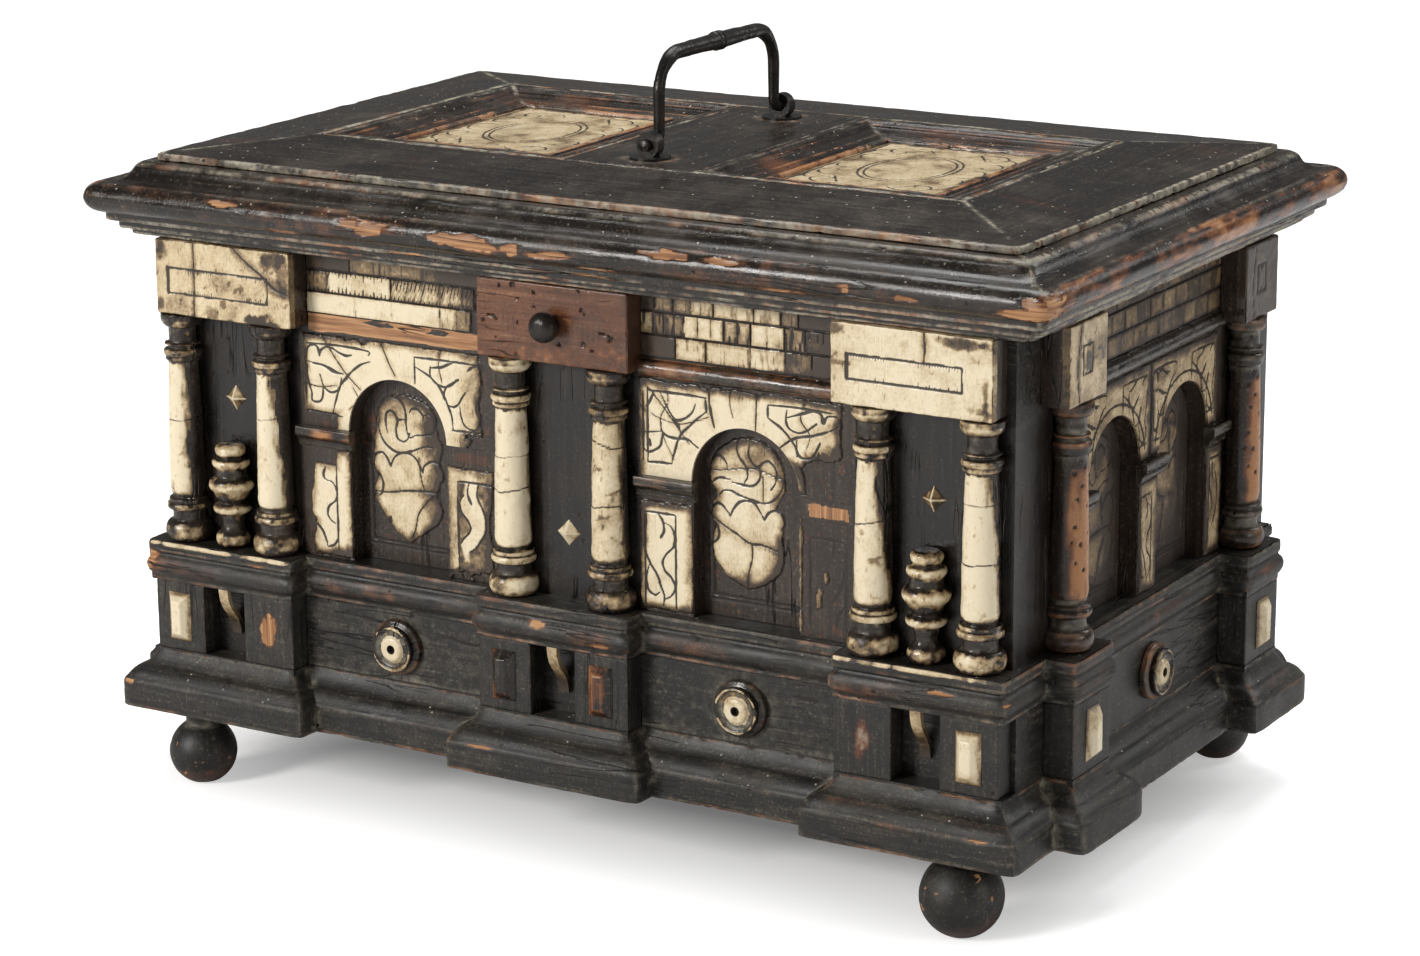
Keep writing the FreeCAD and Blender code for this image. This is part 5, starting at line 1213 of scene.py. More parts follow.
SPRAYS = """
6,33 12,40 22,41 27,35 24,30 19,31 20,35
21,22 28,24 32,19 30,13 25,14 26,18
23,8 30,7 33,0
12,40 16,34 21,26
27,35 32,32 33,25
3,45 10,44 15,42
"""
PLATE_X, PLATE_Y = 36.1, 47.9


def lid_panel(middle, seed):
    """A lid panel: an oval cartouche ringed by leaf scrolls inside an incised border."""
    x, y = grid(-PLATE_X, PLATE_X, -PLATE_Y, PLATE_Y, 0.65)
    turn = np.linspace(0, 2 * np.pi, 90)
    lines = [stacked(a * np.cos(turn), b * np.sin(turn), 1.0) for a, b in ((17, 25), (19.5, 28))]
    for sx in (-1, 1):
        for sy in (-1, 1):
            lines += strokes(SPRAYS, (0, 0), (sx, sy))
    lines += [straight((-34, -46), (34, -46), (34, 46), (-34, 46), (-34, -46))]
    return inlaid(x, y, (0, 0), (middle, 0, CORNICE_TOP + 1.5), UPRIGHT, lines, None,
                  whole((-37, -49), (37, 49)), seed, 0.3)


piece("bone_panels_engraved", "lid", EBONY, lid_panel(-PANEL_X, 71) + lid_panel(PANEL_X, 72),
      ["bone_panels"])


# Friezes

# The left frieze's top band, the last row, is stained darker partly as painted shadow of the cornice above
# it.
LEFT_BANDS = (
    ((-126, -101.5, 0.06), (-101.6, -83.5, 0.02), (-83.6, -60, 0.05), (-60, -52, 0.22), (-52.1, -45, 0.5),
     (-45, -35, 1.1)),
    ((-126, -115, 0.62), (-115.1, -84, 0.16), (-83.5, -60, 0.24), (-60.1, -49, 0.36), (-49.1, -43, 0.6),
     (-43, -35, 1.1)),
    ((-126, -104, 0.9), (-104, -84, 0.5), (-84.1, -60, 0.58), (-60, -35, 0.95)))
RIGHT_BANDS = (
    ((35, 51, 0.9), (51, 64.5, 0.20), (64.6, 84.5, 0.24), (84.6, 100, 0.20), (100, 112, 0.66),
     (112, 126, 0.9)),
    ((35, 40.5, 0.35), (41, 47, 0.72), (47, 55, 0.6), (55, 61, 0.16), (61, 67, 0.12), (67, 72.5, 0.18),
     (73, 79, 0.42), (79, 84.5, 0.36), (85, 92, 0.14), (92, 99.5, 0.16), (100, 109, 0.5), (109, 126, 0.9)),
    ((35, 41, 0.85), (41.5, 50, 0.55), (50, 58, 0.55), (58, 68, 0.34), (68.4, 77, 0.24), (77, 86, 0.22),
     (86.3, 98, 0.26), (98.5, 106, 0.6), (106, 126, 0.9)))
# The ends' frieze blocks are dark (0.64 and up): browned bone, and painted shade on the ends.
END_BANDS = [[(12 * k + 4 * band - 66, 12 * k + 4 * band - 54, 0.64 + 0.03 * ((k * 7 + band * 3) % 4))
              for k in range(-1, 12)] for band in range(3)]
BAND_EDGES = ((0.2, 9.0), (9.4, 18.2), (18.8, 26.3))
BAND_LINES = (9.2, 18.5)
FLUTE_PITCH, FLUTE_CHANGE = 1.9, -84


def frieze(low, high, bands, seed, origin, axes, fluted, streaky=0.3):
    """Three bands of bone blocks, each (from, to, stain); a fluted middle band has short strokes."""
    x, y = grid(low + 0.2, high - 0.2, BAND_EDGES[0][0], BAND_EDGES[2][1], 0.42 if streaky > 0.2 else 0.6)
    q = np.stack([x, y], 2)
    blot, fine = field(q, seed)
    stain = np.full_like(x, 0.9)
    gap = np.full_like(x, -0.4)
    for (foot, top), row in zip(BAND_EDGES, bands):
        for start, stop, tone in row:
            inside = framed(q, (start, foot), (stop, top))
            stain = np.where(inside > 0, tone, stain)
            gap = most(gap, inside - 0.1 - 1.2 * (tone > 1))
    gap = gap + 0.2 * fine + 0.12 * blot
    flow = noise(np.stack([x * 1.6, y * 0.25, x * 0 + seed], 2), 1.3, seed)
    bone = ease(gap, -0.3, 0.1) * (stain < 1)
    ink = 0.75 * (1 - ease(gap, -0.05, 0.22))
    lines = [straight((low + 2, level), (high - 9, level)) for level in BAND_LINES]
    ink = most(ink, cut(q, lines, 0.85))
    stain = stain + 0.5 * ease(-y + 1.4 * blot + fine, -1.4, 0.4) * (not fluted)
    middle = (y > 9.3) & (y < 18.2)
    if fluted:
        leaning = x > FLUTE_CHANGE
        lean = np.where(leaning, 0.28, 0.05)
        phase = (x - lean * (y - 9)) / FLUTE_PITCH + 0.25 * noise(np.stack([x, y * 0, y * 0], 2), 5, seed + 2)
        column = np.floor(phase).astype(np.int64)
        slip = hashed(column, 0, 3, seed)
        off = np.abs(phase - column - 0.5) * FLUTE_PITCH
        low_end = unit((12.0 + 1.0 * slip - y) / 2.2)
        high_end = unit((y - np.where(leaning, 12.6 - 1.5 * slip, 16.0 - slip)) / 2.2)
        wide = 0.5 * most(low_end, 0.8 * high_end)
        ink = most(ink, middle * (1 - ease(off, wide * 0.6, wide + 0.12)) * (wide > 0.06))
        stain = stain + 0.2 * middle * leaning * ease(off, 0.3, 0.8)
    else:
        grey = middle & (stain > 0.3)
        ink = most(ink, grey * ease(flow, 0.25, 0.6) * 3 * streaky)
    stain = stain + streaky * ease(flow, 0.3, 0.8) * (stain > 0.18) + 0.22 * unit(blot)
    stain = stain + 0.22 * (1 - ease(gap + 0.7 * blot, 0.1, 1.6))
    height = GROUND_THICK + 0.6 * bone - 0.3 * unit(ink) + 0.05 * fine
    bare = 0.6 * ease(fine, 0.7, 1.0) * (stain > 1)
    return plate(x, y, origin, axes, most(height, 0.06),
                 {"bone": bone, "ink": unit(ink), "stain": stain, "raw": bare})


foot = FRIEZE + BEAD_HIGH
parts = frieze(-BLOCK_IN, -LOCK_HALF, LEFT_BANDS, 81, (0, -WALL_Y, foot), FRONT_AXES, True)
parts += frieze(LOCK_HALF, BLOCK_IN, RIGHT_BANDS, 82, (0, -WALL_Y, foot), FRONT_AXES, False)
piece("frieze_plates_engraved", "case", ARCADE, parts, ["frieze_plates"])
parts = frieze(-END_INNER, END_INNER, END_BANDS, 83, (WALL_X, 0, foot), RIGHT_AXES, False, 0.08)
parts += frieze(-END_INNER, END_INNER, END_BANDS, 84, (-WALL_X, 0, foot), LEFT_AXES, False, 0.08)
piece("frieze_plates_ends", "case", END_BONE, parts)
x, y = grid(-BLOCK_IN + 0.2, -LOCK_HALF - 0.2, 0.2, BEAD_HIGH - 0.2, 0.6)
q = np.stack([x, y], 2)
drift = rough(np.stack([x * 0.16, y, x * 0], 2), 2.4, 5)
blot = field(q, 85)[0]
bare = ease(framed(q, (-BLOCK_IN - 9, 1.2), (-LOCK_HALF, 8.8)) + 0.6 * drift, -0.4, 0.5)
bare = bare * ease(1.0 + drift + 0.5 * blot, 0.1, 0.8)
parts = plate(x, y, (0, -WALL_Y, FRIEZE), FRONT_AXES, 0.3 + 0.12 * drift,
              {"bone": 0.0, "raw": bare, "ink": 0.7 * ease(-drift, 0.75, 1.0)})
parts[0]["uv"] = q
piece("lost_bead_mark", "case", ARCADE, parts)

TICK = 1.15


def holed(q, holes, fine):
    """Worm holes (x, z, radius) in a flat face: 1 inside them and 0 outside."""
    found = np.zeros(q.shape[:-1])
    for x, z, radius in holes:
        off = np.hypot(q[..., 0] - x, q[..., 1] - z) + 0.2 * fine
        found = most(found, 1 - ease(off, radius * 0.7, radius * 1.1))
    return found


def frieze_block(low, high, axis, incised, cracks, spots, seed, dark):
    """A bone block: its show face has an incised rectangle, fine ticks, cracks and stained spots.

    A spot is a centre, its radii and the strength of its stain.
    """
    step = [6, 6, 6]
    for k in range(3):
        if k != axis:
            step[k] = 0.6 if axis == 1 else 0.9
    parts = block(low, high, 0.8, step, 2)
    (x0, z0), (x1, z1) = incised
    lines = [straight((x0, z0), (x1, z0)), straight((x1, z0), (x1, z1)), straight((x1, z1), (x0, z1)),
             straight((x0, z1), (x0, z0)) * (1, 1, 1.9)]
    for part in parts:
        p = part["p"]
        blot = rough(p, 13, seed)
        fine = rough(p, 3, seed + 2)
        show = part["face"][0] == axis
        q = p[..., [1 if axis == 0 else 0, 2]]
        ink = np.zeros(p.shape[:2])
        stain = 0.06 + dark + 0.36 * part["edge"] * (0.5 + fine) + 0.2 * unit(blot)
        stain = stain + 0.3 * ease(rough(p, 3.2, seed + 5) + 0.4 * blot, 0.55, 0.9)
        if show:
            ink = cut(q, lines, 0.85)
            tick = np.floor(q[..., 0] / TICK).astype(np.int64)
            slip = hashed(tick, 0, 5, seed)
            off = np.abs(q[..., 0] / TICK - tick - 0.5) * TICK
            inner = framed(q, (x0, z0), (x1, z1))
            reach = least(q[..., 1] - z0, z1 - q[..., 1])
            ticks = (1 - ease(off, 0.1, 0.3)) * (reach < 0.8 + 1.5 * unit(slip)) * (inner > 0)
            ink = most(ink, 0.75 * ticks)
            gap = away(q, strokes(cracks, taper=0.7))
            ink = most(ink, 0.95 * (1 - ease(gap * (1 + 0.3 * fine), 0.22, 0.5)))
            stain = stain + 0.25 * (1 - ease(gap + blot, 0.3, 2.5))
            for centre, radii, tone in spots:
                d = np.hypot((q[..., 0] - centre[0]) / radii[0], (q[..., 1] - centre[1]) / radii[1])
                stain = stain + tone * (1 - ease(d + 0.35 * fine + 0.2 * blot, 0.4, 1.1))
            part["bone"] = np.ones(p.shape[:2])
        else:
            part["bone"] = 1 - ease(max(abs(low[axis]), abs(high[axis])) - np.abs(p[..., axis]), 2.5, 4.5)
            stain = stain + 0.3
        part["ink"] = ink
        part["stain"] = stain
        sunk = 0.3 * ink + 0.08 * (1 + fine) + 0.5 * unit(part["edge"] * (blot + 0.3))
        part["p"] = p - part["way"] * unit(sunk)[..., None]
    return parts


LEFT_BLOCK_CRACKS = """
-155,236.4 -147,230,1.6 -139,225,1.8 -134,221,1.8 -127,218.8,1.6
-175.3,204.6,1.4 -175.2,212 -175,220,0.6 -174.8,229 -174.8,236,1.4
"""
LEFT_BLOCK_SPOTS = (((-192, 233), (4, 6), 0.5), ((-135, 233), (6, 4), 0.55), ((-141, 204), (10, 5), 1.2),
                    ((-166, 207), (5, 3), 0.3), ((-193, 209), (3, 4), 0.4), ((-129, 226), (3, 10), 0.3))
RIGHT_BLOCK_CRACKS = """
166,224 166.4,230 166,236,0.6
"""
RIGHT_BLOCK_SPOTS = (((183, 234), (9, 2.6), 0.6), ((192, 214), (2, 9), 0.45), ((127, 234), (4, 3), 0.5),
                     ((157, 231), (2, 1.6), 0.18), ((186, 209), (3, 1.5), 0.3))
# The left block is darker than the right (0.24 against 0.06): a browner stain, and painted shade for the
# lesser light on the left of the front.
parts = frieze_block((-BLOCK_OUT, -WALL_Y - BLOCK_DEEP, BLOCK), (-BLOCK_IN, -WALL_Y, CASE_TOP), 1,
                     ((-188.5, 213.8), (-137.5, 224.6)), LEFT_BLOCK_CRACKS, LEFT_BLOCK_SPOTS, 91, 0.24)
parts += frieze_block((BLOCK_IN, -WALL_Y - BLOCK_DEEP, BLOCK), (BLOCK_OUT, -WALL_Y, CASE_TOP), 1,
                      ((133.2, 214.8), (182, 224.4)), RIGHT_BLOCK_CRACKS, RIGHT_BLOCK_SPOTS, 92, 0.06)
piece("frieze_blocks_front_bone", "case", ARCADE, parts, ["frieze_blocks_front"])
parts = []
for number, (sx, sy) in enumerate(((-1, -1), (-1, 1), (1, -1), (1, 1))):
    x = sorted((sx * WALL_X, sx * (WALL_X + BLOCK_DEEP)))
    y = sorted((sy * END_INNER, sy * END_OUTER))
    crack = "%.1f,204.6 %.1f,220 %.1f,236.4" % (y[0] + 9, y[0] + 7, y[0] + 10)
    incised = ((y[0] + 12, 216), (y[1] - 13, 227))
    spots = (((y[0] + 16, 221), (2.5, 4.5), 0.5),)
    parts += frieze_block((x[0], y[0], BLOCK), (x[1], y[1], CASE_TOP), 0, incised, crack, spots, 95 + number,
                          0.34 if sy < 0 else 0.82)
piece("frieze_blocks_end_bone", "case", ARCADE, parts, ["frieze_blocks_end"])

LOCK_HOLES = ((-32, 219, 0.8), (-27, 221.4, 0.9), (-16, 220, 0.6), (-8, 232.5, 0.6), (-8, 227, 0.8),
              (3.5, 213, 0.8), (15, 214.4, 1.2), (27, 217.4, 0.8), (14, 228, 0.8), (-17, 206.6, 0.9),
              (-18, 235, 0.9), (13, 235.4, 0.9), (19, 212.2, 0.4), (-24, 234, 0.6), (-15.5, 229.4, 0.5))
LOCK_CRACKS = """
-30,221.6 -27.5,221 -25,219.8
20,219.9 25,219.2 29,217.8
"""
parts = block((-LOCK_HALF, -WALL_Y - LOCK_DEEP, BLOCK), (LOCK_HALF, -WALL_Y, CASE_TOP), 0.8, (0.7, 4, 0.7), 0)
for part in parts:
    p = part["p"]
    show = part["face"] == (1, False)
    rub(part, 101, 0.9)
    q = p[..., [0, 2]]
    blot, fine = field(q, 103)
    hatch = np.abs(q[..., 0] / 0.95 + 0.25 * noise(p, 9, 104) - np.round(q[..., 0] / 0.95))
    left_zone = framed(q, (-25.5, 214.8), (-15, 223.8))
    right_zone = framed(q, (3.5, 215), (24.5, 223.8))
    zone = ease(most(left_zone, right_zone) + 0.6 * blot, 0, 0.6)
    ink = 0.42 * (1 - ease(hatch, 0.1, 0.36)) * zone
    hole = most(holed(q, LOCK_HOLES, fine), cut(q, strokes(LOCK_CRACKS), 0.7))
    # Darker towards the top, under the cornice: painted shadow; darker at both ends: grime.
    shade_and_grime = ease(q[..., 1] + 5 * blot, 224, 234) + 0.8 * ease(np.abs(q[..., 0]) + 2 * blot, 32, 35)
    part["ink"] = unit(most(ink + 0.30 * shade_and_grime, hole)) * show + 0.5 * (not show)
    bright = ease(-q[..., 1] + 4 * blot, -216, -207) + 0.7 * ease(q[..., 0] + 6 * blot, -4, 26)
    part["wear"] = unit(0.5 * part["wear"] + 0.5 * unit(bright) * (1 + 0.4 * fine))
    part["p"] = part["p"] - part["way"] * (0.9 * hole * show)[..., None]
worn("lock_block", "case", BROWN_WOOD, parts)


# Base mouldings, dies and their trim

PLINTH_SECTION = ((0, PLINTH), (11, PLINTH), (11, 45), (9.8, 46.2), (5.6, 50.8, 0.5), (4.8, 50.8),
                  (0, DADO, -0.8))
SURBASE_SECTION = ((0, SURBASE), (0.6, SURBASE), (0.8, 91.0, -0.3), (0.9, 99.5, 2.0), (0.4, 99.8),
                   (0.4, 100.9), (1.6, 100.9), (1.6, SILL), (0, SILL))
RIGHT_WAY = [(BASE_X, -FRONT_FACE), (BASE_X, -END_OUTER), (END_FACE, -END_OUTER), (END_FACE, -END_INNER),
             (BASE_X, -END_INNER), (BASE_X, END_INNER), (END_FACE, END_INNER), (END_FACE, END_OUTER),
             (BASE_X, END_OUTER), (BASE_X, WALL_Y)]
FRONT_RIGHT = [(PAIR_HALF, -FRONT_FACE), (PAIR_HALF, -BASE_Y), (PAIR - PAIR_HALF, -BASE_Y),
               (PAIR - PAIR_HALF, -FRONT_FACE), (BASE_X, -FRONT_FACE)]
FRONT_WAY = [(-x, y) for x, y in reversed(FRONT_RIGHT)] + FRONT_RIGHT
LEFT_WAY = [(-x, y) for x, y in reversed(RIGHT_WAY)]
BASE_CHIPS = (((-203, -136, 97), (7, 5, 5)), ((-6, -137, 98), (4, 4, 1.7)), ((-146, -137, 102), (5, 4, 1.2)),
              ((176, -137, 98), (6, 4, 0.7)), ((24, -137, 93), (4, 4, 0.8)), ((207, -136, 97), (4, 6, 1.2)),
              ((-208, -143, 44), (3, 4, 1.2)), ((196, -145, 45), (5, 3, 0.6)), ((-30, -145, 45), (7, 3, 0.6)))
for label, section, seed in (("plinth", PLINTH_SECTION, 111), ("surbase", SURBASE_SECTION, 121)):
    for number, (side, way, ends) in enumerate((
            ("front", FRONT_WAY, ((-1, -1), (1, -1))), ("right", RIGHT_WAY, ((1, -1), (1, 0))),
            ("left", LEFT_WAY, ((-1, 0), (-1, -1))))):
        made = run(section, way, ends=ends, corner=1.0, step=2.0, spacing=0.6)
        rub(made, seed + number, 0.6, 2.0)
        chip(made, BASE_CHIPS, seed + 4, 0.5)
        streaks = rough(made["p"] * (0.25, 0.25, 1), 7, seed + 7)
        lay(made, "wear", 0.2 * unit(streaks))
        if label == "surbase":
            p = made["p"]
            pairs = (np.abs(np.abs(p[..., 0]) - PAIR) < PAIR_HALF + 3) & (p[..., 1] < -BASE_Y - 8)
            ragged = unit(0.7 + 0.8 * rough(p, 14, 3) + 0.6 * rough(p, 3, 4))
            lip = ease(p[..., 2], 103.4, 104.8) * pairs * ragged
            made["bone"] = lip * (np.abs(p[..., 1]) > FRONT_FACE + 0.6)
            made["stain"] = 0.25 + 0.5 * (1 - lip)
            swell = (p[..., 2] > 91) & (p[..., 2] < 99)
            lay(made, "wear", 0.16 * swell * (0.3 + rough(p, 20, 6)))
        worn(label + "_" + side, "case", MATT, [made])

DADO_CRACKS = """
-104,83.4 -98,83.0,1.6 -92,82.2 -87,82.6
-62,80.8 -55,80.4,1.6 -48,79.6,1.8 -40,79.8
50,72 57,71.6
104,82 112,81.2,1.4 119,81.5
"""
DADO_HOLES = ((-108, 78, 0.7), (-101, 83.2, 0.9), (-96, 83, 1.0), (-90, 82.4, 0.8), (-60, 80.6, 0.9),
              (-52, 80, 1.1), (-44, 79.6, 0.9), (-66, 66, 0.6), (-118, 70, 0.7), (55, 80, 0.7), (62, 66, 0.6),
              (108, 81.6, 0.9), (115, 81.2, 1.0), (104, 70, 0.7), (44, 77, 0.6), (120, 66, 0.6))
parts = []
for low, high in ((-PAIR + PAIR_HALF, -PAIR_HALF), (PAIR_HALF, PAIR - PAIR_HALF)):
    x, y = grid(low + 0.2, high - 0.2, DADO + 0.2, SURBASE - 0.2, 0.6)
    q = np.stack([x, y], 2)
    blot, fine = field(q, 136)
    ink = most(cut(q, strokes(DADO_CRACKS, taper=0.3), 0.8), holed(q, DADO_HOLES, fine))
    halo = 1 - ease(np.hypot(np.abs(x) - BAY, y - MID_DADO) + 3 * blot, 12, 18)
    heap = 1 - ease(y - DADO + 2 * blot, 0, 3)
    made = plate(x, y, (0, -BASE_Y, 0), FRONT_AXES, 0.3 + 0.1 * blot - 0.2 * ink,
                 {"bone": 0.0, "ink": most(ink, 0.5 * ease(-fine, 0.5, 0.9)),
                  "wear": 0.12 * unit(blot + 0.4 * fine),
                  "dust": 0.3 * halo + 0.5 * heap + 0.2 * unit(fine + 0.5 * blot)})
    made[0]["uv"] = q
    parts += made
piece("dado_worn", "case", MATT, parts)

dies = []
for middle in (-PAIR, 0, PAIR):
    for sign in (-1, 1):
        x = middle + sign * COLUMN_HALF
        dies += block((x - 12.5, -FRONT_FACE, DADO), (x + 12.5, -BASE_Y, SURBASE), 0.6, (1.1, 4, 1.1), 2)
for part in dies:
    rub(part, 131, 0.7)
    p = part["p"]
    show = part["face"] == (1, False)
    for place in (-PAIR + COLUMN_HALF, PAIR - COLUMN_HALF):
        d = np.hypot((p[..., 0] - place) / 5.0, (p[..., 2] - MID_DADO) / 10.5)
        scar = 1 - ease(d + 0.3 * rough(p, 6, 9), 0.35, 1.2)
        bare = 1 - ease(d + 0.35 * rough(p, 3, 12), 0.5 if place < 0 else 0.3, 0.85 if place < 0 else 0.7)
        part["wear"] = most(part["wear"], (0.8 if place < 0 else 0.55) * scar * show)
        if place > 0:
            part["dust"] = most(part["dust"], 1.0 * (bare > 0.7) * show)
        else:
            part["raw"] = most(part.get("raw", 0), bare * show)
worn("front_dies", "case", MATT, dies)
dies = []
for sx in (-1, 1):
    for sy in (-1, 1):
        x = sorted((sx * BASE_X, sx * END_FACE))
        y = sorted((sy * END_INNER, sy * END_OUTER))
        dies += block((x[0], y[0], DADO), (x[1], y[1], SURBASE), 0.6, (4, 2, 2), 2)
worn("end_dies", "case", MATT, [rub(part, 133, 0.7) for part in dies])

TABLET_X, TABLET_Y, TABLET_RISE = 5.5, 10.5, 3.4


def tablet(origin, axes, seed, bone):
    """A bevelled tablet: height is the least distance to its sides, cut off at the flat."""
    x, y = grid(-TABLET_X, TABLET_X, -TABLET_Y, TABLET_Y, 0.4)
    q = np.stack([x, y], 2)
    inside = framed(q, (-TABLET_X, -TABLET_Y), (TABLET_X, TABLET_Y))
    blot, fine = field(q, seed)
    height = 0.2 + least(inside, TABLET_RISE) - 0.12 * (1 + blot) * ease(inside, 0.5, 2)
    arris = 1 - ease(np.abs(inside - 3.2) + 0.4 * fine, 0.2, 1.0)
    # Orange on the left bevel of the wood tablets, which faces the key lamp: painted light; on the arris it
    # is wear.
    left = ease(-x, 1.5, 4.5)
    return plate(x, y, origin, axes, most(height, 0.1),
                 {"bone": bone, "stain": 0.22 + 0.35 * blot + 0.5 * (1 - ease(inside + blot, 0, 1.8)),
                  "wear": (1 - bone) * unit(0.05 + 0.35 * arris + 0.5 * left + 0.5 * blot)})


parts = []
for sign in (-1, 1):
    parts += tablet((sign * (PAIR + COLUMN_HALF), -FRONT_FACE, MID_DADO), FRONT_AXES, 141 + sign, 1.0)
    parts += tablet((END_FACE, sign * END_CENTRE, MID_DADO), RIGHT_AXES, 144 + sign, 1.0)
    parts += tablet((-END_FACE, sign * END_CENTRE, MID_DADO), LEFT_AXES, 147 + sign, 1.0)
piece("bone_tablets", "case", EBONY, parts, ["bone_lozenges"])
parts = tablet((-COLUMN_HALF, -FRONT_FACE, MID_DADO), FRONT_AXES, 151, 0.0)
parts += tablet((COLUMN_HALF, -FRONT_FACE, MID_DADO), FRONT_AXES, 152, 0.0)
piece("wood_tablets", "case", EBONY, parts, ["wood_lozenges"])

STUD_HALF, STUD_RISE, STUD_POINT = 3.75, 3.2, 0.3
ON_POINT = ((math.sqrt(0.5), 0, math.sqrt(0.5)), (-math.sqrt(0.5), 0, math.sqrt(0.5)), (0, -1, 0))


def stud(x, level, tone, seed):
    """A diamond stud on its point: a blunt pyramid over the greater of |x| and |y|, with painted highlights
    on its arrises.
    """
    u, v = grid(-STUD_HALF, STUD_HALF, -STUD_HALF, STUD_HALF, 0.25)
    out = most(np.abs(u), np.abs(v))
    height = STUD_RISE * unit((STUD_HALF - out) / (STUD_HALF - STUD_POINT))
    blot, fine = field(np.stack([u, v], 2), seed)
    arris = bell(np.abs(u) - np.abs(v), 0.45)
    # Less stain along the arrises: painted highlight.
    stain = tone + 0.25 * fine + 0.2 * blot - tone * arris + 0.3 * ease(out, 3.0, STUD_HALF)
    return plate(u, v, (x, -WALL_Y, SILL + level), ON_POINT, most(height, 0.05),
                 {"bone": 1.0, "stain": stain})


parts = stud(-PAIR, 63.0, 0.56, 155) + stud(PAIR, 63.0, 0.62, 156) + stud(0, 27.0, 0.24, 157)
piece("studs_bone", "case", ARCADE, parts, ["diamond_studs"])

BOSS_PLACES = (((-BAY, -BASE_Y, MID_DADO), FRONT_AXES), ((BAY, -BASE_Y, MID_DADO), FRONT_AXES),
               ((BASE_X, 0, MID_DADO), RIGHT_AXES), ((-BASE_X, 0, MID_DADO), LEFT_AXES))
DISC = ((0, 0), (12, 0), (12, 1.6), (11.2, 3.2, 0.5), (10.2, 3.4), (10.0, 4.0), (0, 4.0))
FACE = ((1.7, 4.0), (9.8, 4.0), (9.8, 5.4), (8.9, 6.4, 0.3), (8.2, 6.2), (7.4, 5.4), (5.6, 5.2),
        (5.0, 6.2), (4.2, 6.6), (1.7, 6.4), (1.7, 4.0))
parts = [rub(lathe(DISC, place, axes, 56, 0.7), 161, 0.7) for place, axes in BOSS_PLACES]
worn("boss_discs", "case", EBONY, parts)
parts = []
for number, (place, axes) in enumerate(BOSS_PLACES):
    made = lathe(FACE, place, axes, 64, 0.4)
    radius = np.hypot(made["local"][..., 0], made["local"][..., 1])
    blot = rough(made["p"], 6, 163 + number)
    fine = rough(made["p"], 1.6, 169 + number)
    eye = ease(5.7 - radius + 0.4 * blot + 0.3 * fine, -0.2, 0.3)
    line = ease(0.4 - np.abs(radius - 9.0) + 0.6 * blot + 0.3 * fine, -0.2, 0.3)
    patchy = ease(fine + blot, 0.3, 0.7) * (radius < 8)
    made["bone"] = most(eye, line, 0.75 * patchy)
    browned = 1 - most(eye, 0.5 * line)
    made["stain"] = 0.14 + 0.4 * browned + 0.3 * unit(blot) + 0.12 * (number > 1)
    made["dust"] = 0.7 * ease(radius, 5, 6) * (1 - ease(radius, 7.5, 8.5))
    made["ink"] = 1 - ease(radius, 1.75, 2.2)
    parts.append(made)
piece("boss_faces_bone", "case", EBONY, parts, ["boss_rings"])


# Imposts and beads

IMPOST = ((0, IMPOST_LOW), (2.2, IMPOST_LOW), (2.6, 155.0), (4.6, 158.0, -0.5), (5.0, 158.4), (5.0, SPRING),
          (0, SPRING))
BEAD = ((0, FRIEZE), (0.8, FRIEZE), (0.9, 202.3), (0.9, 209.2, 3.2), (0.8, 210), (0, 210))


def front_strip(section, x, seed, wear):
    """A moulding across the front wall."""
    return rub(run(section, [(x[0], -WALL_Y), (x[1], -WALL_Y)], step=1.5, spacing=0.5), seed, wear)


def end_strip(section, y, side, seed, wear):
    """A moulding along the right or left end wall."""
    path = [(WALL_X, y[0]), (WALL_X, y[1])] if side > 0 else [(-WALL_X, y[1]), (-WALL_X, y[0])]
    return rub(run(section, path, step=1.5, spacing=0.5), seed, wear)


parts = [front_strip(IMPOST, (-BAY - BAY_WIDTH / 2, -BAY - ARCH + 2), 171, 0.8),
         front_strip(IMPOST, (BAY - BAY_WIDTH / 2, BAY - ARCH + 2), 172, 0.5)]
for side in (-1, 1):
    for y in ((-END_BAY, -END_ARCH - ARCH + 2), (-11, 11), (END_ARCH + ARCH - 2, END_BAY)):
        parts.append(end_strip(IMPOST, y, side, 173, 0.5))
level = parts[0]["p"][..., 2]
lay(parts[0], "wear", 0.6 * (0.6 + rough(parts[0]["p"], 9, 8)) * (level > 156) * (level < 160.8))
worn("imposts", "case", EBONY, parts)
parts = [front_strip(BEAD, (LOCK_HALF, BLOCK_IN), 181, 1.0)]
for side in (-1, 1):
    parts.append(end_strip(BEAD, (-END_INNER, END_INNER), side, 182, 0.7))
for number, part in enumerate(parts):
    p = part["p"]
    drift = rough(p * (0.16, 0.16, 1), 4, 8) + 0.5 * rough(p * (0.3, 0.3, 1), 1.4, 9)
    part["wear"] = unit(part["wear"] * 0.4 + (0.30 if number == 0 else 0.14) * (0.9 + 0.9 * drift))
    part["raw"] = 0.5 * ease(drift, 1.0, 1.3) * (number == 0)
worn("beads", "case", EBONY, parts)


# Turned work

